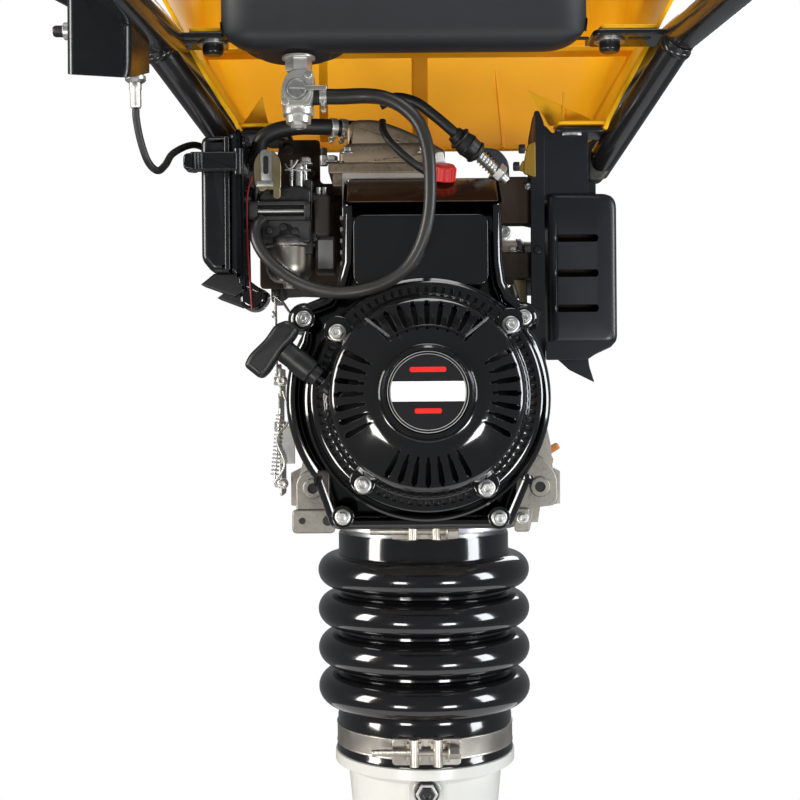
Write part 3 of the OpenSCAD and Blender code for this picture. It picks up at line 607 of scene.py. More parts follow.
def make_fan_cover():
    bm = bmesh.new()
    cushioned(bm, cover_outline(), -195, -150.3, 7, steps=5)
    normal = Vector((0, -34, 55)).normalized()
    cut = bmesh.ops.bisect_plane(
        bm, geom=bm.verts[:] + bm.edges[:] + bm.faces[:], plane_co=(0, -195,
                                                                    146), plane_no=normal, clear_outer=True)
    rim = [e for e in cut["geom_cut"] if isinstance(e, bmesh.types.BMEdge)]
    bmesh.ops.edgenet_fill(bm, edges=rim)
    add_piece(bm, "fan_cover_shell", "gloss_enamel", replaces="fan_cover", bevel=2.2, segments=4, angle=24)
    bm = bmesh.new()
    panel = plate(-54, 86, 47, 139, 8)
    cushioned(bm, panel, -195.7, -190, 0.7, steps=3)
    lathe(bm, [(88, 0), (88, 3.2), (89.5, 4.2), (91, 3.2), (91, 0)], (0, -194.6, 0), OUT, 144)
    add_piece(bm, "fan_cover_panel", "gloss_enamel", bevel=0, replaces=())
    # A thin dark amber sheet on the top slope: a painted reflection of the yellow cowl.
    bm = bmesh.new()
    run = Vector((0, 55, 34)).normalized()
    lift = Vector((0, -34, 55)).normalized()
    hood_reflection_outline = rounded([(-59, 5.5), (55.6, 5.5), (56, 49), (-60, 49)], [3, 3, 8, 8], 5)
    cushioned(bm, hood_reflection_outline, 0, 0.9, 0.6, "Z", 3)
    place = Matrix.Translation((0, -195, 146)) @ Matrix((
        (1, run.x, lift.x, 0), (0, run.y, lift.y, 0), (0, run.z, lift.z, 0), (0, 0, 0, 1)))
    bmesh.ops.transform(bm, matrix=place, verts=bm.verts)
    add_piece(bm, "fan_cover_hood_reflection", "cowl_reflection_enamel")
    bm = bmesh.new()
    for x, z in COVER_BOLTS:
        lathe(bm, cushion(8.6, 2.0, 1.0), (x, -194.8, z), OUT, 32)
    add_piece(bm, "fan_cover_bosses", "gloss_enamel")


def make_recoil_cover():
    """A polar grid: radial louvres in four groups and a ring of small vents, cut as real openings."""
    profile = [
        (87, 0), (87, 5), (86.2, 8), (84.6, 9.2), (82.4, 9.6), (81.6, 9.6), (77.4, 9.8), (76.6, 10),
        (75.6, 11),
        (75, 13.5), (73.6, 19), (72.2, 26), (71.2, 29.6), (70, 31.6), (68.6, 32.6), (67.6, 33.2), (65.8, 34),
        (50.4, 40.4), (48.6, 41), (46, 42), (42, 42.7), (37, 43), (35.4, 43.4), (34.4, 45), (34, 50),
        (33.2, 52.4),
        (31.6, 53.3), (30.2, 53.2), (29.6, 52.4), (29.4, 51.6), (12, 51.6)]
    steps = (-3.35, -1.9, -1.15, 0, 1.15, 1.9, 3.35, 4.5)
    period = 9
    angles = [period * q + s for q in range(40) for s in steps]
    count = len(angles)
    bm = bmesh.new()
    rings = [
        ring_of(bm, [(r * math.sin(math.radians(a)), FRONT - h,
                      r * math.cos(math.radians(a))) for a in angles])
        for r, h in profile]
    bolt_angles = [math.degrees(math.atan2(x, z)) for x, z in RECOIL_BOLTS]
    for i in range(len(profile) - 1):
        outer = profile[i][0]
        for k in range(count):
            step, q = k % 8, k // 8
            mid = angles[k] + 0.3
            near_bolt = min(abs((mid - b + 180) % 360 - 180) for b in bolt_angles) < 9
            vent = outer == 81.6 and step in (2, 3, 6, 7) and not near_bolt
            place = (q + 4) % 10
            wide = 48 < outer <= 67.6 and step in (2, 3)
            narrow = outer == 65.8 and step in (1, 4)
            slot = (wide or narrow) and place <= 8 and (place in range(1, 8) or q in (4, 36))
            if vent or slot:
                continue
            bm.faces.new((rings[i][k], rings[i][(k + 1) % count], rings[i + 1][(k + 1) % count],
                          rings[i + 1][k]))
    obj = add_piece(bm, "recoil_shell", "gloss_enamel", RECOIL_SPACE, "recoil_cover")
    thicken(obj, 2.4)
    soften(obj, 0.9, 2)
    # A matte black ring behind the small vents: painted shade that keeps the openings dark.
    bm = bmesh.new()
    lathe(bm, [(73.4, 0), (73.4, 1.2), (84.4, 1.2), (84.4, 0)], (0, FRONT - 5.4, 0), OUT, 120)
    add_piece(bm, "recoil_vent_shade", "rubber", RECOIL_SPACE)
    bm = bmesh.new()
    for x, z in RECOIL_BOLTS:
        lathe(bm, cushion(10.5, 12.6, 2.0), (x, FRONT + 0.6, z), OUT, 40)
    rod(bm, (-64, -209, 4), (-74, -212.4, 12), 9.4, 8.6)
    rod(bm, (-73, -212, 11.2), (-76, -213, 13.6), 9.8, 9.2)
    for s in (-1, 1):
        p = [Vector((s * 71 * math.sin(math.radians(38.8)), FRONT - 31.5, 71 * math.cos(math.radians(38.8)))),
             Vector((s * 49 * math.sin(math.radians(34))
                     , FRONT - 41.2, 49 * math.cos(math.radians(34))))]
        rod(bm, p[0], p[1], 1.1, segs=12)
    arc_top = [(48.6 * math.sin(math.radians(a)), FRONT - 41.4,
                48.6 * math.cos(math.radians(a))) for a in range(-34, 35, 2)]
    tube(bm, arc_top, 1.0, 10)
    add_piece(bm, "recoil_ears", "gloss_enamel", RECOIL_SPACE, bevel=0.6)


def make_badge():
    """A round film badge with plain bands and no lettering."""
    bm = bmesh.new()
    lathe(bm, [(0, 0), (29, 0), (29, 1.2), (28.4, 1.7), (0, 1.7)], (0, -247.4, 0), OUT, 96)
    add_piece(bm, "badge_disc", "badge_film", RECOIL_SPACE, "recoil_badge")
    bm = bmesh.new()
    for r in (28.6, 26.8):
        lathe(bm, [(r, 0), (r, 0.5), (r + 0.5, 0.5), (r + 0.5, 0)], (0, -248.9, 0), OUT, 96)
    add_piece(bm, "badge_rings", "zinc", RECOIL_SPACE)
    bm = bmesh.new()
    band = [(x * 26.6, z) for x, z in
            arc_span(7.6 / 26.6, -6.6 / 26.6)]
    prism(bm, band, -249.35, -248.8)
    add_piece(bm, "badge_band", "white_plastic", RECOIL_SPACE)
    bm = bmesh.new()
    for half, z in ((13, 16), (9.6, -13.4)):
        prism(bm, plate(-half, z - 1.8, half, z + 1.8, 1.6), -249.3, -248.8)
    add_piece(bm, "badge_bars", "red_plastic", RECOIL_SPACE)


def arc_span(top, bottom, steps=8):
    """A band across a circle of radius 1: x as a share of the radius, z in millimetres of the badge."""
    rows = [bottom + (top - bottom) * k / steps for k in range(steps + 1)]
    right = [(math.sqrt(1 - t * t), t * 26.6) for t in rows]
    return right + [(-x, z) for x, z in reversed(right)]


def make_machine_bolts():
    bm = bmesh.new()
    for x, z in COVER_BOLTS:
        hex_bolt(bm, (x, -196.6, z), OUT, 4.6)
    for x, z in RECOIL_BOLTS:
        hex_bolt(bm, (x, -207.6, z), OUT, 5.0, height=4.4)
    for x in (-60, 0):
        for y in (-146, -82):
            hex_bolt(bm, (x, y, 194), UP, 4, height=4)
    for k in range(6):
        a = math.radians(30 + 60 * k)
        hex_bolt(bm, (70 * math.cos(a), 66, 76 + 70 * math.sin(a)), (0, 1, 0), 5.5)
    for s in (-1, 1):
        hex_bolt(bm, (s * 66, 66, -88), (0, 1, 0), 5.5)
        hex_bolt(bm, (s * 133, 8, 118), (s, 0, 0), 9)
    add_piece(bm, "machine_bolt_heads", "zinc", replaces="machine_bolts", bevel=0.25, segments=1)
    bm = bmesh.new()
    for s, x in ((-1, -163), (1, 145)):
        lathe(bm, cushion(8.2, 9.5, 3), (x, -160, 278), DOWN, 40)
        hex_bolt(bm, (s * 120, -116, 213), DOWN, 6.4, height=6)
    add_piece(bm, "frame_bolt_heads", "dark_enamel", bevel=0.4, segments=1)
    bm = bmesh.new()
    for s, x in ((-1, -163), (1, 145)):
        lathe(bm, cushion(12, 1.6, 0.6), (x, -160, 277.8), DOWN, 40)
        lathe(bm, [(0, 0), (11, 0), (11, 1.2), (0, 1.2)], (s * 120, -116, 213.1), DOWN, 32)
    add_piece(bm, "frame_washers", "zinc")


def make_starter_grip():
    """The T grip, its stem and the short end of its cord."""
    axis = Vector((-math.cos(math.radians(39)), 0, math.sin(math.radians(39))))
    across = Vector((math.sin(math.radians(39)), 0, math.cos(math.radians(39))))
    root = Vector((-79, -214, 16))
    frame4 = Matrix.Translation(root) @ Matrix((
        (across.x, 0, axis.x, 0), (0, 1, 0, 0), (across.z, 0, axis.z, 0), (0, 0, 0, 1)))
    bm = bmesh.new()
    bar = rounded([(-27, 33), (-20, 31.5), (0, 33.5), (12, 32), (19.5, 34), (19.5, 45), (11, 50), (-2, 49),
                   (-18, 51), (-27, 49)], 3.5)
    cushioned(bm, bar, -9.5, 9.5, 4.5)
    lathe(bm, [(0, 1), (6.6, 1), (7, 3), (6.8, 7), (8.6, 8), (9, 10), (9, 22), (8.4, 24), (8.6, 33),
               (0, 34)], segs=40)
    bmesh.ops.transform(bm, matrix=frame4, verts=bm.verts)
    add_piece(bm, "starter_grip_body", "black_plastic", replaces="starter_grip", bevel=0.8, angle=40)
    bm = bmesh.new()
    tip = frame4 @ Vector((0, 0, 30))
    path = [root.lerp(tip, t / 8) - axis * 6 * (1 - t / 8) for t in range(9)]
    tube(bm, path, 2.2, 12)
    add_piece(bm, "starter_cord", "rubber", body="grip")


# ---------------------------------------------------------------- bellows, clamps and leg
def make_bellows():
    bulge, centre, pitch, first, neck = 15.2, 79.3, 34.6, -151.0, 75.2
    profile = [(71.5, -117.4), (75.6, -117.4), (76, -119), (76, -131.5)]
    for i in range(4):
        z = first - pitch * i
        for k in range(19):
            a = math.radians(100 - 200 * k / 18)
            profile.append((centre + bulge * math.cos(a), z + bulge * math.sin(a) * 0.98))
        if i < 3:
            profile += [(neck, z - bulge - 1.2), (neck, z - pitch + bulge + 1.2)]
    profile += [(76, -271), (76.5, -276), (77.6, -280), (77.6, -289), (78, -306), (78.6, -307),
                (78.8, -310), (77.4, -311.4), (71, -311.4)]
    bm = bmesh.new()
    lathe(bm, profile, segs=160)
    obj = new_object(bm, "bellows_skin", "bellows_rubber")
    thicken(obj, 2.4)
    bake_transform(obj)
    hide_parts("bellows")


def make_clamp(node, top, bottom, r, bolt_z):
    """A T-bolt band clamp: band with rolled edges, bridge, two trunnions, threaded bolt and nut."""
    bm = bmesh.new()
    lathe(bm, [(r - 1.4, bottom), (r + 0.6, bottom), (r + 0.9, bottom + 0.8), (r + 0.4, bottom + 1.6),
               (r + 0.4, top - 1.6), (r + 0.9, top - 0.8), (r + 0.6, top), (r - 1.4, top)], segs=144)
    face = -(r + 0.4)
    mid = (top + bottom) / 2
    outline = plate(-29, bottom - 3, 29, top + 2, 4)
    cushioned(bm, outline, face - 1.8, face + 2.5, 0.8, steps=2)
    for x in (-10.5, 9.5):
        rod(bm, (x, face - 6.5, bottom - 2.6), (x, face - 6.5, top + 2.6), 4.2)
        box(bm, (x - 6, face - 6.5, bottom + 1), (x + 6, face, top - 1))
    for x in (-24, 22):
        lathe(bm, cushion(2.2, 1.2, 0.6), (x, face - 1.6, mid), OUT, 16)
    rod(bm, (-46, face - 6.5, bolt_z), (20, face - 6.5, bolt_z), 2.9, segs=24)
    for k in range(27):
        x = -45.5 + k * 1.25
        lathe(bm, [(2.6, 0), (3.3, 0.62), (2.6, 1.24)], (x, face - 6.5, bolt_z), RIGHT, 18)
    hex_bolt(bm, (17.6, face - 6.5, bolt_z), RIGHT, 5.8, washer=True, height=9)
    add_piece(bm, node + "_band", "band_steel", replaces=node, bevel=0.25, segments=1, angle=38)


PLUG_AT = (0, -74, -331)


def make_leg():
    dress("lower_leg", "silver_paint", 1.2)
    bm = bmesh.new()
    lathe(bm, [(0, 0), (10.4, 0), (10.4, 3.4), (9.6, 4.2), (0, 4.2)], PLUG_AT, OUT, 40)
    hex_bolt(bm, Vector(PLUG_AT) + Vector((0, -3.6, 0)), OUT, 7.4, washer=False, height=5)
    add_piece(bm, "leg_plug", "black_plastic", bevel=0.4, body="foot")


# ---------------------------------------------------------------- cords that the machine holds
FUEL_HOSE = ((-84, -190, 228.5), (-74, -190, 229), (-62, -190, 229), (-44, -192, 229), (-30, -197, 226),
             (-16, -203, 218), (-4, -208, 204), (2, -212, 184), (3.4, -214, 160), (2, -214, 136),
             (-4, -212, 114),
             (-15, -209, 97), (-30, -206, 87), (-48, -203, 81.6), (-68, -197, 80.6), (-86, -190, 85),
             (-103, -184, 93.6),
             (-119, -181, 107), (-128, -178, 121), (-129.6, -174, 133), (-125, -168, 140))
BREATHER = ((-139, -137, 190), (-132, -139, 197), (-127, -142, 207), (-117, -143, 213), (-101, -142, 216.4),
            (-84, -138, 217.4), (-66, -130, 218), (-51, -126, 218))
HT_LEAD = ((-34, -148, 232), (-22, -150, 237), (-6, -152, 233), (8, -152, 223), (20, -151, 213),
           (27, -149, 207))
THROTTLE = ((-207, -242, 209), (-207, -240, 202), (-205, -236, 188), (-201, -230, 174), (-196, -220, 169),
            (-193, -204, 176), (-191, -184, 188), (-184, -158, 199), (-178, -138, 203), (-170, -125, 199),
            (-160, -121, 190), (-150, -121, 180), (-140, -123, 171), (-131, -127, 163), (-124, -132, 158))


def hose_clamp(bm, centre, along, r):
    """A thin band with two ears and a screw."""
    lathe(bm, [(r, -2.6), (r + 0.8, -2.6), (r + 0.8, 2.6), (r, 2.6)], centre, along, 40)
    place = Matrix.Translation(centre) @ basis(along)
    down = (place.to_3x3().inverted() @ Vector((0, -0.2, -1)))
    down = Vector((down.x, down.y, 0)).normalized()
    side = Vector((-down.y, down.x, 0))
    for s in (-1, 1):
        p = place @ (down * (r + 3.2) + side * s * 2.6)
        rod(bm, place @ (down * r * 0.9 + side * s * 2.6), p, 1.5, segs=10)
    rod(bm, place @ (down * (r + 2.2) - side * 6), place @ (down * (r + 2.2) + side * 5), 1.2, segs=12)
    hex_bolt(bm, place @ (down * (r + 2.2) + side * 4.6), place.to_3x3() @ side, 2.4, washer=False, height=2)


def make_cords():
    path = smooth_path(FUEL_HOSE, 7)
    bm = bmesh.new()
    tube(bm, path, lambda t: 5.9 - 1.4 * min(1, max(0, (t - 0.12) / 0.3)), 28)
    add_piece(bm, "fuel_hose_line", "hose_rubber", replaces="fuel_hose")
    path = smooth_path(BREATHER, 8)
    bm = bmesh.new()
    tube(bm, path, 6.4, 28)
    add_piece(bm, "breather_hose_line", "rubber", replaces="breather_hose")
    bm = bmesh.new()
    hose_clamp(bm, (-76, -190, 229), RIGHT, 6.2)
    hose_clamp(bm, (-64, -129.4, 218), (1, 0.4, 0), 6.7)
    hose_clamp(bm, (-72, -132.6, 217.9), (1, 0.45, 0), 6.7)
    add_piece(bm, "hose_clamps", "tap_zinc", bevel=0.15, segments=1)
    bm = bmesh.new()
    tube(bm, smooth_path(HT_LEAD, 8), 4.2, 20)
    rod(bm, (24, -149, 209), (34, -145, 201), 6.2, 9.4)
    rod(bm, (34, -145, 201), (43, -142, 194), 9.4, 8.2)
    for t in (0.2, 0.55, 0.9):
        p = Vector((25, -149, 208)).lerp(Vector((43, -142, 194)), t)
        lathe(bm, [(6, -1.6), (9.2, -1.2), (9.8, 0), (9.2, 1.2), (6, 1.6)], p, (18, 7, -14), 28)
    add_piece(bm, "ht_lead_line", "rubber", replaces="ht_lead", bevel=0.3)
    bm = bmesh.new()
    along = Vector((21, 8, -18))
    rod(bm, (42, -142.4, 195), (66, -134, 174), 4.4)
    for k in range(6):
        p = Vector((44, -141.6, 193.2)).lerp(Vector((55, -138, 183.6)), k / 5)
        lathe(bm, [(4.2, -0.8), (6, 0), (4.2, 0.8)], p, along, 24)
    hex_bolt(bm, (57, -137, 182), along, 8.2, washer=False, height=7)
    add_piece(bm, "spark_plug", "zinc", bevel=0.2, segments=1)
    bm = bmesh.new()
    tube(bm, smooth_path(THROTTLE, 8), 2.7, 16)
    add_piece(bm, "throttle_cable_line", "rubber", replaces="throttle_cable")
    bm = bmesh.new()
    stop_wire = [(-32, -158, 217), (-31, -164, 208), (-26, -168, 199), (-17, -168, 190), (-7, -166, 182),
                 (1, -163, 177)]
    tube(bm, smooth_path(stop_wire, 8), 3, 14)
    add_piece(bm, "stop_wire", "rubber")


# ---------------------------------------------------------------- fuel system
def make_tank():
    side = rounded([(-216, 262), (-190, 261), (-40, 309), (-20, 314), (-20, 392), (-216, 392)],
                   [22, 30, 30, 18, 24, 26], 7)
    bm = bmesh.new()
    cushioned(bm, side, -152, 122, 21, "X", 9, reach=31)
    lathe(bm, cushion(40, 20, 7), (-98, -175, 286.5), DOWN, 80)
    lathe(bm, cushion(29, 12, 4), (-98, -180, 273.6), DOWN, 72)
    lathe(bm, [(0, 0), (40, 0), (38, 3), (33.5, 6), (33, 13), (0, 13)], (25, -110, 389), UP, 64)
    add_piece(bm, "tank_shell", "tank_plastic", replaces="fuel_tank", bevel=1.2, angle=40)
    bm = bmesh.new()
    seam = plate(-150.6, -217.4, 120.6, -19, 22, 8)
    cushioned(bm, seam, 329, 333, 1.6, "Z", 3)
    add_piece(bm, "tank_seam", "tank_plastic")
    bm = bmesh.new()
    for k in range(36):
        a = math.radians(10 * k)
        p = Vector((25 + 33 * math.cos(a), -110 + 33 * math.sin(a), 405))
        rod(bm, p, p + Vector((0, 0, 15)), 2.4 if k % 2 else 1.2, segs=10)
    lathe(bm, [(0, 0), (33, 0), (33.6, 1), (33, 15), (31.4, 18), (27, 19.6), (22, 19.8), (20, 18.4),
               (0, 18.4)],
          (25, -110, 404.3), UP, 72)
    box(bm, (5, -113, 420.5), (45, -107, 424))
    add_piece(bm, "tank_cap", "black_plastic", replaces="fuel_cap", bevel=0.5)


def make_fuel_tap():
    x, y = -94.4, -190
    bm = bmesh.new()
    lathe(bm, [(0, 0), (12.5, 0), (12.5, 1.6), (0, 1.6)], (x, y, 257.4), UP, 40)
    levels = ((9.486, 247.6), (10.2, 248.6), (10.2, 256.4), (9.486, 257.4))
    hexagon(bm, Matrix.Translation((x, y, 0)), levels, 12)
    outline = rounded([(x - 11.6, 219), (x + 9, 219), (x + 11.4, 226), (x + 12, 240), (x + 11.6, 246),
                       (x - 3, 246.4),
                     (x - 9, 242), (x - 12.6, 232)], [2, 4, 5, 5, 4, 6, 7, 7])
    cushioned(bm, outline, -204.6, -199, 1.0, steps=2)
    cushioned(bm, outline, -198.2, -178, 2.4, steps=3)
    lathe(bm, [(0, 0), (11, 0), (11.8, 1), (11.8, 7), (11, 8), (9.6, 8.2), (9.3, 13), (8.2, 14), (0, 14)],
          (x - 0.4, y, 222), DOWN, 48)
    hex_bolt(bm, (x - 0.4, y, 208.2), DOWN, 5.8, washer=False, height=3.2)
    rod(bm, (x + 6, y, 229), (-66, y, 229), 4.6)
    lathe(bm, [(4, 0), (5.4, 1.6), (4, 3.2)], (-72, y, 229), RIGHT, 24)
    lathe(bm, [(8.2, 0), (10.2, 0), (10.6, 0.8), (10.2, 1.6), (8.2, 1.6)], (x - 0.4, -204.6, 231), OUT, 48)
    add_piece(bm, "tap_body", "tap_zinc", replaces="fuel_tap", bevel=0.4, angle=36)
    bm = bmesh.new()
    for px, pz in ((x + 8, 242), (x - 9, 222)):
        lathe(bm, cushion(3.1, 1.6, 0.8), (px, -204.4, pz), OUT, 24)
        box(bm, (px - 2.6, -206.4, pz - 0.4), (px + 2.6, -205.8, pz + 0.4))
    add_piece(bm, "tap_screws", "zinc")
    bm = bmesh.new()
    lathe(bm, [(0, 0), (7.6, 0), (7.8, 2.6), (6.9, 3.8), (5.6, 3.4), (0, 3.2)], (x - 0.4, -206.4, 231), OUT,
          48)
    box(bm, (x - 5.6, -210.4, 230.4), (x + 6, -208.6, 231.6))
    cushioned(bm, rounded([(x + 5, 229.6), (x + 22, 229.2), (x + 22, 233), (x + 5, 232.8)], 1.4), -210.6,
              -208.4, 0.6,
              steps=2)
    add_piece(bm, "tap_handle", "tap_zinc", replaces="tap_lever", bevel=0.3, segments=2)


# ---------------------------------------------------------------- carburettor and air filter
def make_carburettor():
    bm = bmesh.new()
    cushioned(bm, rounded([(-132, 150), (-92, 150), (-92, 164), (-100, 167), (-126, 165), (-132, 160)], 3),
              -164, -130, 2)
    cushioned(bm, rounded([(-131, 122), (-92, 122), (-91, 141), (-131, 141)], 3), -165, -130, 2)
    lathe(bm, [(0, 0), (20.6, 0), (21.2, 1), (21.2, 4), (19.4, 6), (18, 15), (0, 15)], (-110, -147, 122.4),
          UP, 56)
    for z0, z1 in ((139.4, 142), (150.6, 153.4)):
        box(bm, (-139.4, -170.6, z0), (-92, -158, z1))
    for x0, x1 in ((-139.4, -132.6), (-96.6, -92)):
        box(bm, (x0, -170.6, 139.4), (x1, -158, 153.4))
    box(bm, (-134, -163, 142), (-94, -158, 152))
    for x in (-131, -121, -103):
        rod(bm, (x, -158, 138), (x, -158, 125), 2.2, segs=16)
    for x, z in ((-124, 132), (-113, 134.5), (-104, 131)):
        lathe(bm, cushion(2.8, 1.8, 0.8), (x, -165, z), OUT, 20)
    for x, r in ((-134.6, 1.7), (-129.4, 2.2)):
        rod(bm, (x, -160, 150), (x, -160, 175), r, segs=14)
    rod(bm, (-126, -150, 162), (-126, -150, 176), 6, segs=28)
    lathe(bm, cushion(4.6, 3, 1), (-113, -152, 165), UP, 24)
    lathe(bm, cushion(3.6, 5, 1), (-119.6, -160, 160), (0, -1, 0.2), 24)
    cushioned(bm, plate(-97, 114, -91, 172, 2), -160, -130, 1.2, steps=2)
    for z in (128, 158):
        hex_bolt(bm, (-90.6, -154, z), OUT, 3, height=3)
    add_piece(bm, "carb_castings", "carb_zinc", CARB, "carburettor", bevel=0.6, angle=36)
    bm = bmesh.new()
    rod(bm, (-132.4, -167, 146.4), (-96.8, -167, 146.4), 1.9, segs=20)
    rod(bm, (-101, -158, 163), (-101, -158, 180), 2.9, segs=24)
    lathe(bm, [(0, 0), (3.6, 0), (3.6, 2), (2.4, 2.6), (2.4, 4), (0, 4)], (-101, -158, 180), UP, 24)
    hex_bolt(bm, (-96.4, -156, 184), UP, 4.4, washer=True, height=4)
    rod(bm, (-96.4, -156, 166), (-96.4, -156, 184), 1.5, segs=14)
    for k in range(7):
        lathe(bm, [(1.6, -0.5), (2.5, 0), (1.6, 0.5)], (-107, -160, 172 + 1.8 * k), UP, 18)
    rod(bm, (-107, -160, 165), (-107, -160, 187), 1.2, segs=14)
    box(bm, (-112, -162, 178.6), (-92, -155, 179.8))
    tube(bm, smooth_path([(-112, -161, 184), (-109, -162, 180), (-105, -162, 182), (-102, -162, 187)], 6),
         0.8, 8)
    for x in (-86.6, -82):
        rod(bm, (x, -152, 160), (x, -152, 167), 2, segs=16)
    add_piece(bm, "carb_screws", "zinc", CARB, bevel=0.2, segments=1)
    bm = bmesh.new()
    cushioned(bm, plate(-90.4, 128, -77, 161, 4), -158, -126, 2.4)
    cushioned(bm, plate(-89.6, 100, -74, 129, 2), -150, -126, 1.2)
    add_piece(bm, "carb_insulator", "phenolic", CARB, bevel=0.3)
    bm = bmesh.new()
    cushioned(bm, plate(-87.4, 103.4, -75.4, 126, 0.8), -151.6, -148, 0.4, steps=2)
    add_piece(bm, "carb_gasket", "grey_gasket", CARB)
    bm = bmesh.new()
    lathe(bm, [(0, -9.5), (5, -9.5), (6, -8), (12, -7.4), (15.4, -4.5), (17.6, 0), (18.4, 5), (18.6, 18.5),
               (19.6, 19),
               (20.8, 19.8), (20.8, 22), (0, 22)], (-110, -147, 101), UP, 72)
    hex_bolt(bm, (-110, -147, 92), DOWN, 5, washer=False, height=3.6)
    add_piece(bm, "bowl_pressing", "band_steel", CARB, "float_bowl", bevel=0.2, segments=1)
    # A dark plate with bolts behind the carburettor: painted shade that fills the gap between the carburettor
    # and the fan cover.
    bm = bmesh.new()
    shade_backing_outline = rounded([(-134, 92), (-66, 92), (-66, 178), (-84, 178), (-84, 214), (-116, 214), (-122, 190),
                      (-134, 176)], 4)
    cushioned(bm, shade_backing_outline, -104, -101, 0.8, steps=2)
    for x, z in ((-110, 206), (-90, 186), (-74, 168)):
        hex_bolt(bm, (x, -104, z), OUT, 4, height=3)
    add_piece(bm, "carb_shade_backing", "exhaust_metal", bevel=0.3)
    bm = bmesh.new()
    dome = rounded([(-130, 164), (-121, 162), (-110, 162), (-109.6, 183), (-114, 191.6), (-126, 191.6),
                    (-131, 183)],
                   [3, 2, 2, 8, 7, 7, 8])
    cushioned(bm, dome, -174.6, -173.2, 0.4, steps=2)
    cushioned(bm, plate(-115.6, 155, -110.4, 168, 2.4), -174.4, -173.2, 0.4, steps=2)
    rod(bm, (-124, -176, 164), (-124, -170.8, 164), 3.4, segs=20)
    add_piece(bm, "choke_plate", "brass", replaces="choke_lever", bevel=0.2, segments=1)
    bm = bmesh.new()
    cushioned(bm, plate(-125.4, 166, -117, 192.4, 3), -175.6, -174.7, 0.3, steps=2)
    cushioned(bm, plate(-128.6, 164, -115.6, 168.4, 1.2), -177, -175.4, 0.5, steps=2)
    add_piece(bm, "choke_strip", "tap_zinc", body="choke")
    # A thin black strip on the choke plate: painted shade standing for its slot.
    bm = bmesh.new()
    cushioned(bm, plate(-123.2, 173.6, -119.2, 187.6, 1.9), -176, -175.5, 0.1, steps=1)
    add_piece(bm, "choke_slot_shade", "black_plastic", body="choke")


def make_filter():
    bm = bmesh.new()
    section = rounded([(-170, 108), (-162, 98), (-148.4, 98), (-148.4, 202), (-170, 202)], [4, 4, 1, 3, 7], 6)
    cushioned(bm, section, -184, -130, 5.5, "Y", 5)
    cushioned(bm, plate(-152, 99.5, -148, 201, 1), -184.8, -130.6, 1.2, "Y", 3)
    add_piece(bm, "filter_lid", "satin_plastic", replaces="filter_cover", bevel=0.7, angle=38)
    bm = bmesh.new()
    section = rounded([(-147.4, 99), (-140.4, 92), (-140.4, 208), (-147.4, 203)], 1.5)
    cushioned(bm, section, -183, -131, 2.6, "Y", 4)
    cushioned(bm, rounded([(-142.6, 90), (-138.2, 84), (-138.2, 206), (-142.6, 206)], 1), -177, -135, 1.6,
              "Y", 3)
    rod(bm, (-143, -152, 148), (-134, -152, 148), 17)
    for y in (-176, -140):
        hex_bolt(bm, (-138.4, y, 198), RIGHT, 3.6, height=3)
    add_piece(bm, "filter_base", "satin_plastic", replaces="filter_case", bevel=0.6, angle=38)
    bm = bmesh.new()
    for tongue, y0, y1 in ((((-162, 98), (-172, 89.6), (-146, 80), (-138, 85), (-143, 98)), -174, -150),
                           (((-152, 86), (-160, 79.5), (-142, 72.6), (-134, 77), (-138, 88)), -170, -148)):
        cushioned(bm, tongue, y0, y1, 1.4, "Y", 2)
    add_piece(bm, "filter_tongues", "black_plastic", bevel=0.6)
    bm = bmesh.new()
    lobe = rounded([(-144, 96), (-120.6, 84), (-121, 77), (-127, 70), (-135, 69), (-143, 74)],
                   [4, 3, 4, 5, 4, 4], 5)
    cushioned(bm, lobe, -172, -146, 5, "Y", 5)
    cushioned(bm, rounded([(-143, 99), (-126, 86), (-128, 82), (-143, 90)], 2), -174.6, -168, 1.6, "Y", 3)
    add_piece(bm, "filter_drip_lip", "gloss_enamel", bevel=0.4)
    bm = bmesh.new()
    red = [(-131.6, -173.4, 172), (-135.6, -174, 158), (-136, -174.4, 130), (-134.6, -175.6, 100),
           (-132.6, -176, 70)]
    tube(bm, smooth_path(red, 6), 0.75, 8)
    add_piece(bm, "thin_red_wire", "red_wire")
    bm = bmesh.new()
    band = plate(-177, 173.6, -141, 188.4, 2)
    cushioned(bm, band, -192, -184.8, 2, "Y", 3)
    grip = rounded([(-182, 175), (-172, 174), (-172, 188), (-182, 187)], 3.5)
    cushioned(bm, grip, -192, -176, 2, "Y", 3)
    for k in range(3):
        rod(bm, (-172.6 + 2.4 * k, -192.2, 175), (-172.6 + 2.4 * k, -192.2, 187), 0.7, segs=10)
    rod(bm, (-141, -188.2, 171.4), (-141, -188.2, 190.6), 3, segs=20)
    add_piece(bm, "latch_strap", "satin_plastic", replaces="filter_latch", bevel=0.4)


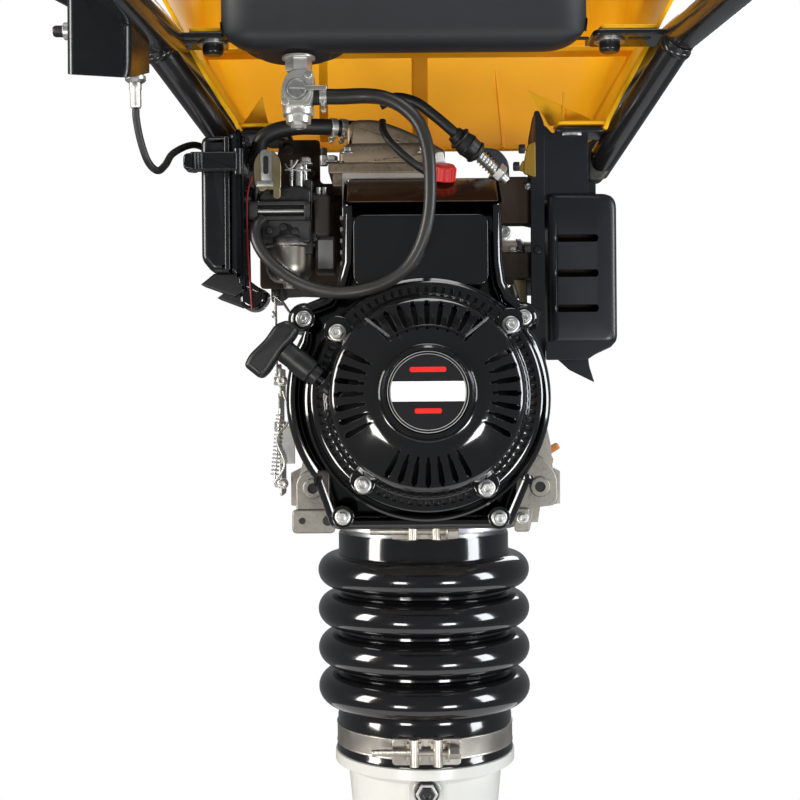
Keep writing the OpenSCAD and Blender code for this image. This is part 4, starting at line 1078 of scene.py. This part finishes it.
# ---------------------------------------------------------------- muffler, dipstick, controls
def make_muffler():
    bm = bmesh.new()
    cushioned(bm, plate(-116, 56, -40, 160, 16, 6), 100, 144, 9, "X", 5)
    tube(bm, smooth_path([(26, -96, 155), (50, -96, 155), (76, -96, 155), (101, -96, 150)], 6), 11, 32)
    cushioned(bm, plate(-118, 140, -74, 172, 6), 50, 57, 1.5, "X", 2)
    rod(bm, (110, -100, 160), (110, -100, 166), 8)
    add_piece(bm, "muffler_body", "exhaust_metal", replaces="muffler", bevel=0.8, angle=38)
    bm = bmesh.new()
    for y, z in ((-112, 146), (-112, 167), (-80, 156)):
        hex_bolt(bm, (57, y, z), RIGHT, 4.4)
    for z in (112, 96):
        hex_bolt(bm, (66, -108, z), OUT, 5)
    add_piece(bm, "exhaust_nuts", "zinc", bevel=0.3, segments=1)
    bm = bmesh.new()
    face = plate(99.6, 42, 155, 164.6, [2, 9, 12, 3], 7)
    outer = [Vector((x, z)) for x, z in face]
    depth = [(-30.5, 0), (-124.5, 0), (-127.4, 0.5), (-129.8, 1.8), (-131.2, 3.8), (-131.8, 6.6)]
    centre = Vector((127.4, 103))
    rings = [ring_of(bm, [(p.x - (p.x - centre.x) / 27.6 * d, y,
                           p.y - (p.y - centre.y) / 61.3 * d) for p in outer])
             for y, d in depth]
    for a, b in zip(rings, rings[1:]):
        bridge(bm, a, b)
    guard_front(bm, rings[-1])
    obj = add_piece(bm, "guard_shell", "guard_enamel", replaces="muffler_guard", angle=40)
    thicken(obj, 1.4)
    bm = bmesh.new()
    lip = rounded([(97, 46), (153, 46), (149, 41), (136, 35), (130, 31), (97, 31)], 1.4, 3)
    cushioned(bm, lip, -131.8, -129.6, 0.5, "Y", 2)
    spout = rounded([(107, 32), (117, 23), (137, 13), (133, 26), (132, 34)], 1, 3)
    cushioned(bm, spout, -121.6, -119.6, 0.5, "Y", 2)
    flange = rounded([(86, 30), (97.6, 30), (97.6, 164), (98, 221), (93.6, 232), (90, 232), (86.6, 212)],
                     [2, 1, 1, 4, 1.5, 2, 4])
    cushioned(bm, flange, -124.2, -121, 0.6, "Y", 2)
    upper = rounded([(88, 160), (133, 160), (133, 214), (104, 214), (98.6, 220), (92, 222), (88, 214)], 1.6)
    cushioned(bm, upper, -123.8, -121.4, 0.5, "Y", 2)
    cushioned(bm, plate(128, 160, 139.4, 175, 1), -121, -119, 0.5, "Y", 2)
    for z in (70, 120):
        lathe(bm, cushion(3.4, 2, 1), (91.6, -124, z), OUT, 20)
    add_piece(bm, "guard_plates", "guard_enamel", bevel=0.4)
    bm = bmesh.new()
    cushioned(bm, rounded([(58, 142), (90, 142), (90, 178), (84, 180), (66, 180), (58, 176)], 2), -119,
              -100, 1.2, "Y", 3)
    cushioned(bm, plate(60, 98, 90, 119, 2), -119, -96, 1.2, "Y", 3)
    cushioned(bm, plate(66, 93, 73, 99, 1), -118, -110, 0.6, "Y", 2)
    add_piece(bm, "exhaust_blocks", "exhaust_metal", bevel=0.4)
    bm = bmesh.new()
    hex_bolt(bm, (64.6, -121, 134), (0, -1, 0.1), 4.6)
    hex_bolt(bm, (72.6, -112, 119), UP, 4.4, height=3.6)
    hex_bolt(bm, (85, -119, 172), OUT, 2.6, height=2)
    add_piece(bm, "exhaust_block_bolts", "zinc", bevel=0.25, segments=1)
    bm = bmesh.new()
    cushioned(bm, rounded([(80.6, 181), (90.4, 178), (90.4, 207), (84, 204), (81.6, 194)], 2), -126.4, -123,
              0.8, "Y", 2)
    cushioned(bm, rounded([(76.4, 184), (84, 182), (86, 191), (80, 192)], 2), -125.6, -122, 0.8, "Y", 2)
    add_piece(bm, "cable_bracket", "mustard", bevel=0.3)
    # A dark amber strip on the guard's edge: a painted reflection of the yellow cowl.
    bm = bmesh.new()
    cushioned(bm, rounded([(84, 178), (91, 178), (91, 231), (88, 226), (84.6, 208)], 1.4), -125, -123.4,
              0.4, "Y", 2)
    add_piece(bm, "guard_edge_reflection_strip", "cowl_reflection_enamel", bevel=0.3)
    bm = bmesh.new()
    hex_bolt(bm, (82, -125, 201), LEFT, 4, washer=False, height=5)
    hex_bolt(bm, (77.4, -125, 187), LEFT, 4, washer=False, height=5)
    add_piece(bm, "bracket_bolts", "dark_enamel", bevel=0.3, segments=1)
    bm = bmesh.new()
    prism(bm, [(73, 98), (85, 98), (85, 70), (81, 70), (78, 84)], -104, -100, "Y")
    add_piece(bm, "exhaust_strap", "brass", bevel=0.5)


def guard_front(bm, rim):
    """The pressed front with three cooling slots, their edges turned inward."""
    y = rim[0].co.y
    slots = [(105.4, 139.4, z, z + 6) for z in (125.2, 97.2, 69.2)]
    loop = list(rim)
    edges = [bm.edges.get((loop[i], loop[(i + 1) % len(loop)])) for i in range(len(loop))]
    for x0, x1, z0, z1 in slots:
        outline = plate(x0, z0, x1, z1, 2.8, 4)
        ring = ring_of(bm, [(x, y, z) for x, z in outline])
        inner = ring_of(bm, [(x, y + 3, z) for x, z in outline])
        edges += outline_edges(bm, ring)
        bridge(bm, ring, inner)
    bmesh.ops.triangle_fill(bm, use_beauty=True, use_dissolve=False, edges=edges)


def make_dipstick():
    axis = Vector((12, 0, 7)).normalized()
    bm = bmesh.new()
    base = Vector((93, -119, -46))
    rod(bm, Vector((82, -119, -55)), base, 7.6)
    lathe(bm, [(0, 0), (9, 0), (9.2, 1), (9.2, 6), (8.2, 7.4), (0, 7.8)], base, axis, 40)
    for k in range(14):
        a = 2 * math.pi * k / 14
        side = basis(axis) @ Vector((math.cos(a), math.sin(a), 0)) * 9
        rod(bm, base + side + axis * 0.8, base + side + axis * 6, 1.0, segs=8)
    tab = Matrix.Translation(base + axis * 6) @ basis(axis)
    before = set(bm.verts)
    cushioned(bm, rounded([(-6, 0), (6, 0), (5, 11), (-5, 11)], [1, 1, 3, 3]), -2.6, 2.6, 1, "Y", 2)
    bmesh.ops.transform(bm, matrix=tab, verts=[v for v in bm.verts if v not in before])
    add_piece(bm, "dipstick_cap", "orange_plastic", replaces="oil_dipstick", bevel=0.3)


def make_controls():
    bm = bmesh.new()
    for z0, z1, dx in ((-76, -40, 0), (-42, 6, 1.2), (2, 26, 0)):
        prism(bm, plate(-134, z0, -94, z1, 4), -116 - dx, -114.4 - dx, "X")
    for z in (-66, -20, 16):
        hex_bolt(bm, (-115.6, -124, z), LEFT, 4)
        hex_bolt(bm, (-114, -132, z), OUT, 3.4)
    box(bm, (-116, -136, -50), (-104, -133, -20))
    for k in range(16):
        lathe(bm, [(2.6, -0.7), (3.5, 0), (2.6, 0.7)], (-120 + 0.3 * k, -137, -58 + 3.1 * k), (0.1, 0, 1), 16)
    rod(bm, (-120, -137, -62), (-115, -137, -6), 0.9, segs=10)
    tube(bm, smooth_path([(-121, -137, -66), (-112, -139, -50), (-118, -139, -30), (-108, -137, -14),
                          (-113, -137, 8)], 7), 1.0, 10)
    add_piece(bm, "control_pressings", "zinc", replaces="control_plate", bevel=0.25, segments=1)
    bm = bmesh.new()
    arm = [(-116, 20), (-106, 20), (-114, 88), (-123, 88)]
    prism(bm, rounded(arm, 3), -121, -119.4, "X")
    rod(bm, (-121, -111, 26), (-116.4, -111, 26), 4, segs=24)
    tube(bm, [(-120, -124, 86), (-120, -132, 84), (-112, -138, 78), (-104, -146, 66)], 1.1, 10)
    lathe(bm, cushion(3, 3, 1), (-120, -119, 70), LEFT, 20)
    add_piece(bm, "governor_blade", "zinc", replaces="governor_arm", bevel=0.25, segments=1)


# ---------------------------------------------------------------- frame, cowl and handle
HANDLE_X, TUBE_R, REAR, LOOP_FRONT, BEND = 198, 14, -240, 370, 62


def make_handle():
    path = []
    corners = [(HANDLE_X, REAR), (HANDLE_X, LOOP_FRONT), (-HANDLE_X, LOOP_FRONT), (-HANDLE_X, REAR)]
    for i, (x, y) in enumerate(corners):
        sx, sy = (1 if x > 0 else -1), (1 if y > 0 else -1)
        cx, cy = x - sx * BEND, y - sy * BEND
        start = {0: -90, 1: 0, 2: 90, 3: 180}[i]
        for k in range(13):
            a = math.radians(start + 90 * k / 12)
            path.append(Vector((cx + BEND * math.cos(a), cy + BEND * math.sin(a), 0)))
    bm = bmesh.new()
    closed_tube(bm, path, TUBE_R, 32)
    for s in (-1, 1):
        cushioned(bm, plate(360, -16, 424, 16, 10), s * 92 - 3, s * 92 + 3, 0.8, "X", 2)
    rod(bm, (-100, 408, 0), (100, 408, 0), 7)
    add_piece(bm, "handle_tube", "frame_enamel", LOOP, "handle_loop", bevel=0.4, angle=40)
    bm = bmesh.new()
    cushioned(bm, plate(-192, 130, 192, 160, 4), 8, 12, 0.8, "Z", 2)
    add_piece(bm, "cowl_rail", "yellow_plastic", LOOP, bevel=0.4)
    bm = bmesh.new()
    for x in (-97.6, 97.6):
        hex_bolt(bm, (x, 408, 0), (1 if x > 0 else -1, 0, 0), 9)
    for s in (-1, 1):
        hex_bolt(bm, (s * 150, 145, 12), UP, 8)
    add_piece(bm, "loop_bolts", "zinc", LOOP, bevel=0.3, segments=1)


def closed_tube(bm, points, r, segs):
    """A round tube that closes on itself, in a level plane."""
    n = len(points)
    rings = []
    for i, p in enumerate(points):
        ahead = (points[(i + 1) % n] - points[i - 1]).normalized()
        out = Vector((ahead.y, -ahead.x, 0))
        rings.append(ring_of(bm, [p + r * (c * out + s * Vector(UP)) for c, s in circle(segs)]))
    for i in range(n):
        bridge(bm, rings[i], rings[(i + 1) % n])


def make_frame():
    bm = bmesh.new()
    for s in (-1, 1):
        low, high = Vector((s * 144, -90, 190)), Vector((195 if s > 0 else -204, -183, 271))
        rod(bm, high, low, 11.4, segs=40)
        rod(bm, (s * 194, 136, 299), (s * 140, 40, 190), 11, segs=36)
        along = (high - low).normalized()
        lathe(bm, [(10.6, -10), (12, -8.6), (12.6, -6.4), (12.2, -4.4), (10.8, -3)], high, along, 36)
        outline = rounded([(-104, 178), (-104, 206), (60, 206), (60, 168), (40, 88), (-24, 88), (-26, 178)],
                          9)
        ring_plate(bm, outline, (18, 166), 18, s)
        lo, hi = (130, 192) if s > 0 else (-192, -153)
        cushioned(bm, plate(lo, -178, hi, -141, [7, 2, 2, 7]), 277.8, 282.1, 1.2, "Z", 3)
        lo, hi = (106, 146) if s > 0 else (-146, -106)
        cushioned(bm, plate(lo, -132, hi, -98, 5), 213, 217, 1.2, "Z", 3)
    add_piece(bm, "frame_struts", "frame_enamel", replaces="mount_frame", bevel=0.5, angle=40)
    # Thin black plates under the bracket plates: painted shade standing for the slots.
    bm = bmesh.new()
    for s in (-1, 1):
        x = 145 if s > 0 else -163
        for dx in (-26, 22) if s > 0 else (-19, 19):
            cushioned(bm, plate(x + dx - 9, -170, x + dx + 9, -164, 2.9),
                      277.4, 278.6, 0.3, "Z", 1)
    add_piece(bm, "plate_slot_shade", "black_plastic")
    bm = bmesh.new()
    for s in (-1, 1):
        foot = rounded([(s * 135, 179), (s * 147, 178), (s * 153, 186), (s * 160, 198), (s * 150, 208),
                        (s * 136, 203)], 4, 5)
        cushioned(bm, foot, -103, -86, 3, "Y", 4)
    add_piece(bm, "strut_feet", "worn_enamel", bevel=0.4)


def ring_plate(bm, outline, hole, r, s):
    """A side plate with a round window, its rim left sharp for the bevel."""
    x0, x1 = (127, 133) if s > 0 else (-133, -127)
    window = [(hole[0] + r * c, hole[1] + r * s) for c, s in circle(40)]
    loops = []
    for x in (x0, x1):
        rims = [ring_of(bm, [(x, y, z) for y, z in pts]) for pts in (outline, window)]
        edges = [edge for ring in rims for edge in outline_edges(bm, ring)]
        bmesh.ops.triangle_fill(bm, use_beauty=True, use_dissolve=False, edges=edges)
        loops.append(rims)
    for near, far in zip(*loops):
        bridge(bm, near, far)


def make_cowl():
    """The yellow cowl: a flared shell with a rolled rim, tabs over the brackets and a rib inside."""
    levels = [(-67.5, 147, 217), (-60, 149.6, 222), (-40, 160, 243), (-10, 176.5, 276), (20, 192, 306),
              (46, 206, 330),
              (60, 207.4, 331), (85, 210.8, 334), (106, 213.4, 335.6), (110, 213.9, 335.9), (112, 213, 335)]
    rear, r_corner, steps = 50, 30, 8
    rings = []
    bm = bmesh.new()
    for z, wide, front in levels:
        pts = []
        for s in (-1, 1):
            sweep_angles = [90 * k / steps for k in range(steps + 1)]
            half = wide + (min(5, 0.15 * (z + 67.5)) if s < 0 else 0)
            corner = [
                (s * (half - 2 - r_corner + r_corner * math.cos(math.radians(a))),
                 front - r_corner + r_corner * math.sin(math.radians(a))) for a in sweep_angles]
            sides = [(s * (half - 2 * t / 5), rear + (front - r_corner - rear) * t / 5) for t in range(5)]
            run = sides + corner
            pts += run if s < 0 else list(reversed(run))
        rings.append(ring_of(bm, [(x, y, z) for x, y in pts]))
    for a, b in zip(rings, rings[1:]):
        bridge(bm, a, b, closed=False)
    obj = add_piece(bm, "cowl_shell", "yellow_plastic", LOOP, "cowl", angle=28)
    thicken(obj, 3.4, 1 if shell_faces_in(obj) else -1)
    soften(obj, 1.2, 3)
    bm = bmesh.new()
    for s in (-1, 1):
        lo, hi = (136, 180) if s > 0 else (-180, -153)
        cushioned(bm, plate(lo, 16, hi, 56, 5), 4.5, 8, 1, "Z", 2)
        lo, hi = (108, 147) if s > 0 else (-147, -108)
        cushioned(bm, plate(lo, 52, hi, 92, 4), -63, -60, 1, "Z", 2)
    prism(bm, [(215, -66), (240.5, -40), (273.5, -10), (303.5, 20), (299, 21), (268, -8), (235, -38),
               (211, -64)],
          75.8, 78.2, "X")
    cushioned(bm, plate(-92, -58, -84, 40, 2), 212, 214, 0.5, "Y", 1)
    add_piece(bm, "cowl_tabs", "yellow_plastic", LOOP, bevel=0.4)
    bm = bmesh.new()
    prism(bm, [(87, 253), (104, 224), (149.4, 223.6), (122, 237)], -105, -103, "Y")
    prism(bm, [(-131, 250), (-126, 226.3), (-147, 227.3)], -105, -103, "Y")
    prism(bm, [(115, 224), (116.8, 224), (116.8, 251), (115, 251)], -108, -104.6, "Y")
    add_piece(bm, "cowl_gussets", "yellow_plastic", bevel=0.4)


def shell_faces_in(obj):
    """True if the shell's normals look at its own middle."""
    face = max(obj.data.polygons, key=lambda f: f.area)
    middle = LOOP @ Vector((0, 190, 20))
    return face.normal.dot(middle - face.center) > 0


def make_throttle():
    """The lever's housing under the left grip: its floor rises towards the machine."""
    bm = bmesh.new()
    section = rounded([(-242, 213), (-204, 210), (-199, 222), (-198.6, 288), (-242, 290)], [6, 6, 6, 8, 8], 5)
    cushioned(bm, section, -300, -226, 6, "Y", 4)
    under = Vector((-5, 23, -76)).normalized()
    cut = bmesh.ops.bisect_plane(bm, geom=bm.verts[:] + bm.edges[:] + bm.faces[:], plane_co=(-206, -301, 217),
                                 plane_no=under, clear_outer=True)
    bmesh.ops.edgenet_fill(bm, edges=[e for e in cut["geom_cut"] if isinstance(e, bmesh.types.BMEdge)])
    for y in (-288, -238):
        lathe(bm, cushion(4.4, 3, 0.8), (-232, y, 227 + (y + 301) * 0.3), (0, 0.3, -1), 24)
    add_piece(bm, "throttle_case", "satin_plastic", replaces="throttle_box", bevel=2.4, segments=4, angle=38)
    bm = bmesh.new()
    lathe(bm, [(0, -2), (6, -2), (7.4, -0.8), (7.4, 2), (6.4, 3), (4.8, 4)], (-207, -242, 231.6), DOWN, 36)
    lathe(bm, [(0, 0), (4.3, 0), (4.5, 1), (4.5, 5), (4, 6), (4, 17), (3.4, 18.6), (0, 18.6)],
          (-207.2, -242, 228.4),
          (0.02, 0, -1), 32)
    lathe(bm, [(4.2, 0), (6, 0), (6, 9), (5.4, 9.6), (4.2, 9.6)], (-241, -270, 257), LEFT, 32)
    add_piece(bm, "throttle_ferrules", "zinc")
    bm = bmesh.new()
    lathe(bm, [(0, 0), (4, 0), (4, 15.4), (3.2, 16.8), (0, 17)], (-241, -270, 257), LEFT, 32)
    add_piece(bm, "stop_plunger", "black_plastic", replaces="stop_button")


def make_band_details():
    bm = bmesh.new()
    for s in (-1, 1):
        outer, inner = s * 126.9, s * 86.1
        mid = (outer + inner) / 2
        lathe(bm, [(0, -20.4), (27, -20.4), (27, -17), (24.6, -14), (24, 0), (24.6, 14), (27, 17),
                   (27, 20.4), (0, 20.4)],
              (mid, 8, 118), RIGHT, 64)
    add_piece(bm, "rubber_mount_bodies", "rubber", replaces="rubber_mounts")
    bm = bmesh.new()
    lathe(bm, [(7.08, -86), (21.5, -86), (23.5, -84), (23.5, -60), (22.2, -58), (22.2, 58), (23.5, 60),
               (23.5, 84), (21.5, 86),
               (7.08, 86)],
          (0, 408, 0), RIGHT, 64)
    add_piece(bm, "roller_body", "rubber", LOOP, "roller")


def make_engine_details():
    """Small parts that stand out against the castings."""
    bm = bmesh.new()
    left = rounded([(-103, -105), (-76, -105), (-76, -55.3), (-96, -55.3), (-103, -63)], [3, 3, 3, 9, 5])
    right = rounded([(70, -104), (82, -104), (86, -86), (104.4, -84), (104.4, -60), (92, -44.5),
                     (79.3, -44.5), (72, -60)],
                    [3, 3, 4, 6, 8, 5, 4, 6])
    cushioned(bm, left, -141, -134, 1.4, "Y", 3)
    cushioned(bm, right, -141, -134, 1.4, "Y", 3)
    cushioned(bm, plate(-106, -105, -72, -86, 4), -143.5, -140, 1.4, "Y", 2)
    cushioned(bm, plate(69.8, -105, 82, -86, 3), -143.5, -140, 1.4, "Y", 2)
    for x in (-89.5, 90.3):
        lathe(bm, [(4.2, 0), (8.2, 0), (8.2, 1.4), (7.4, 2.2), (4.2, 2.2)], (x, -140.6, -69.4), OUT, 32)
    ahead = Matrix(((0.986, 0, 0, -0.28), (0, 1, 0, -14), (0, 0, 0.986, 0), (0, 0, 0, 1)))
    bmesh.ops.transform(bm, matrix=ahead, verts=bm.verts)
    add_piece(bm, "crankcase_ears", "ear_alloy", bevel=0.5)
    # Thin black discs in the ears and plates: painted shade standing for the holes.
    bm = bmesh.new()
    for x, y, z, r in ((-89.5, -141, -69.4, 4.5), (90.3, -141, -69.4, 4.5), (-77.8, -143.5, -95, 4),
                       (-98, -143.5, -95, 2.6)):
        lathe(bm, [(0, 0), (r, 0), (r, 0.5), (0, 0.5)], (x, y, z), OUT, 28)
    bmesh.ops.transform(bm, matrix=ahead, verts=bm.verts)
    add_piece(bm, "crankcase_hole_shade", "black_plastic")
    bm = bmesh.new()
    hex_bolt(bm, (76, -143.4, -94), OUT, 3.8, height=3)
    bmesh.ops.transform(bm, matrix=ahead, verts=bm.verts)
    add_piece(bm, "crankcase_bolt", "zinc", bevel=0.2)
    bm = bmesh.new()
    lathe(bm, [(0, 0), (8, 0), (8.6, 1), (8.6, 11), (7, 13), (0, 13.4)], (15, -160, 170), (0.1, -0.35, 1), 32)
    for k in range(12):
        a = 2 * math.pi * k / 12
        place = Matrix.Translation((15, -160, 170)) @ basis((0.1, -0.35, 1))
        p = place @ Vector((8.6 * math.cos(a), 8.6 * math.sin(a), 1))
        q = place @ Vector((8.6 * math.cos(a), 8.6 * math.sin(a), 10.6))
        rod(bm, p, q, 1.1, segs=8)
    add_piece(bm, "switch_cap", "red_plastic", bevel=0.2)
    bm = bmesh.new()
    cushioned(bm, rounded([(8, 184), (17, 184), (15, 193), (9, 192)], 2), -160, -152, 1, "Y", 2)
    add_piece(bm, "switch_terminal", "white_plastic")
    # The rocker cover's tan tint is painted warm light on the aluminium.
    bm = bmesh.new()
    dome = rounded([(-60.6, 196), (-10, 196), (14, 190), (17, 197), (2, 206), (-18, 215), (-37, 221.6),
                    (-54, 221.6),
                    (-60.6, 216)], [1, 1, 1, 3, 6, 6, 6, 6, 4], 5)
    cushioned(bm, dome, -146, -84, 4, "Y", 5)
    shoulder = rounded([(-66.4, 184), (13, 184), (17, 188), (17, 197), (4, 203), (-58, 203), (-66.4, 198)],
                       [1, 1, 3, 3, 4, 4, 6], 5)
    cushioned(bm, shoulder, -148, -82, 4, "Y", 5)
    cushioned(bm, plate(-75, 178, 18, 187, 2.5), -149.6, -76, 1.6, "Y", 3)
    cushioned(bm, plate(-72, 168, 16, 179, 2), -148.6, -77, 1.4, "Y", 3)
    add_piece(bm, "rocker_casting", "alloy_with_painted_warm_light", replaces="rocker_cover", bevel=0.6)
    bm = bmesh.new()
    hex_bolt(bm, (-72.6, -141, 188), UP, 5, height=4)
    rod(bm, (-79, -140, 186), (-79, -140, 194), 3.4, segs=24)
    add_piece(bm, "rocker_nut", "zinc", bevel=0.2, segments=1)
    bm = bmesh.new()
    rod(bm, (-79, -140, 194), (-79, -140, 200), 2.8, segs=20)
    add_piece(bm, "rocker_stud_cap", "rubber", bevel=0.4)
    bm = bmesh.new()
    cushioned(bm, rounded([(55, 176), (70, 176), (69.4, 192), (61, 202.6), (44, 203.4), (44, 200),
                           (53, 197), (55.4, 190)],
                          [1, 1, 5, 7, 1, 1, 4, 3], 5), -122, -96, 2.4, "Y", 4)
    add_piece(bm, "cylinder_shroud", "shroud_enamel")


# ---------------------------------------------------------------- stage
def make_stage():
    floor_mesh = bpy.data.meshes.new("floor")
    radius, centre_y = 0.54, -0.02
    rim = [(radius * c, radius * s + centre_y, 0) for c, s in circle(96)]
    floor_mesh.from_pydata(rim, [], [tuple(range(96))])
    floor = bpy.data.objects.new("floor", floor_mesh)
    bpy.context.scene.collection.objects.link(floor)
    g = Graph("floor")
    cloud = g.noise(1.5, 3)
    pale = g.mix(cloud, (0.9, 0.9, 0.9), (0.94, 0.94, 0.94))
    floor_mesh.materials.append(g.done(pale, 0.9))
    world = bpy.data.worlds.new("studio")
    bpy.context.scene.world = world
    world.use_nodes = True
    nodes, links = world.node_tree.nodes, world.node_tree.links
    nodes["Background"].inputs["Color"].default_value = (0.93, 0.96, 1, 1)
    nodes["Background"].inputs["Strength"].default_value = 0.17
    backdrop = nodes.new("ShaderNodeBackground")
    backdrop.inputs["Color"].default_value = (1, 1, 1, 1)
    seen = nodes.new("ShaderNodeMixShader")
    links.new(nodes.new("ShaderNodeLightPath").outputs["Is Camera Ray"], seen.inputs["Fac"])
    links.new(nodes["Background"].outputs[0], seen.inputs[1])
    links.new(backdrop.outputs[0], seen.inputs[2])
    links.new(seen.outputs[0], nodes["World Output"].inputs["Surface"])


def area_light(name, at, toward, size, power, color=(1, 1, 1)):
    data = bpy.data.lights.new(name, "AREA")
    data.shape = "RECTANGLE"
    data.size, data.size_y = size
    data.energy = power
    data.color = color
    light = bpy.data.objects.new(name, data)
    bpy.context.scene.collection.objects.link(light)
    light.location = at
    light.rotation_euler = (Vector(toward) - Vector(at)).to_track_quat("-Z", "Y").to_euler()


def make_lights():
    aim = (0, 0, 0.62)
    area_light("key", (-2.5, -0.9, 1.2), aim, (0.8, 1.6), 72, (1.0, 0.97, 0.92))
    area_light("fill", (2.5, -0.9, 1.1), aim, (0.8, 1.6), 56, (0.92, 0.96, 1.0))
    area_light("low_left", (-1.1, -2.3, 0.12), (0, 0, 0.85), (0.6, 0.5), 20, (1.0, 0.98, 0.94))
    area_light("low_right", (1.1, -2.3, 0.12), (0, 0, 0.85), (0.6, 0.5), 20)
    area_light("top", (0.2, -0.2, 2.8), aim, (1.4, 1.0), 22)
    area_light("back", (0.6, 2.4, 1.6), aim, (1.4, 1.4), 22)


CAMERA_AT = Vector((-20, -1170, 0))
CAMERA_ROLL = math.radians(-0.45)
CAMERA_LENS = 58.5


def make_camera():
    """Square to the leg axis at the engine shaft's height, as the picture was taken."""
    data = bpy.data.cameras.new("camera")
    data.lens = CAMERA_LENS
    data.sensor_width = 36
    camera = bpy.data.objects.new("camera", data)
    bpy.context.scene.collection.objects.link(camera)
    turn = Matrix.Rotation(math.pi / 2 - LEAN, 4, "X") @ Matrix.Rotation(CAMERA_ROLL, 4, "Z")
    camera.matrix_world = Matrix.Translation(MACHINE @ CAMERA_AT) @ turn
    bpy.context.scene.camera = camera


make_stage()
make_lights()
make_camera()
bpy.context.scene.view_settings.view_transform = "Standard"

make_fan_cover()
make_recoil_cover()
make_badge()
make_machine_bolts()
make_starter_grip()
make_bellows()
make_clamp("bellows_clamp_lower", -286, -303.5, 78, -294.5)
make_clamp("bellows_clamp_upper", -106, -114.5, 75, -110)
make_leg()
make_cords()
make_tank()
make_fuel_tap()
make_carburettor()
make_filter()
make_muffler()
make_dipstick()
make_controls()
make_handle()
make_frame()
make_cowl()
make_throttle()
make_band_details()
make_engine_details()
for plain, (look, width) in DRESSED.items():
    dress(plain, look, width)
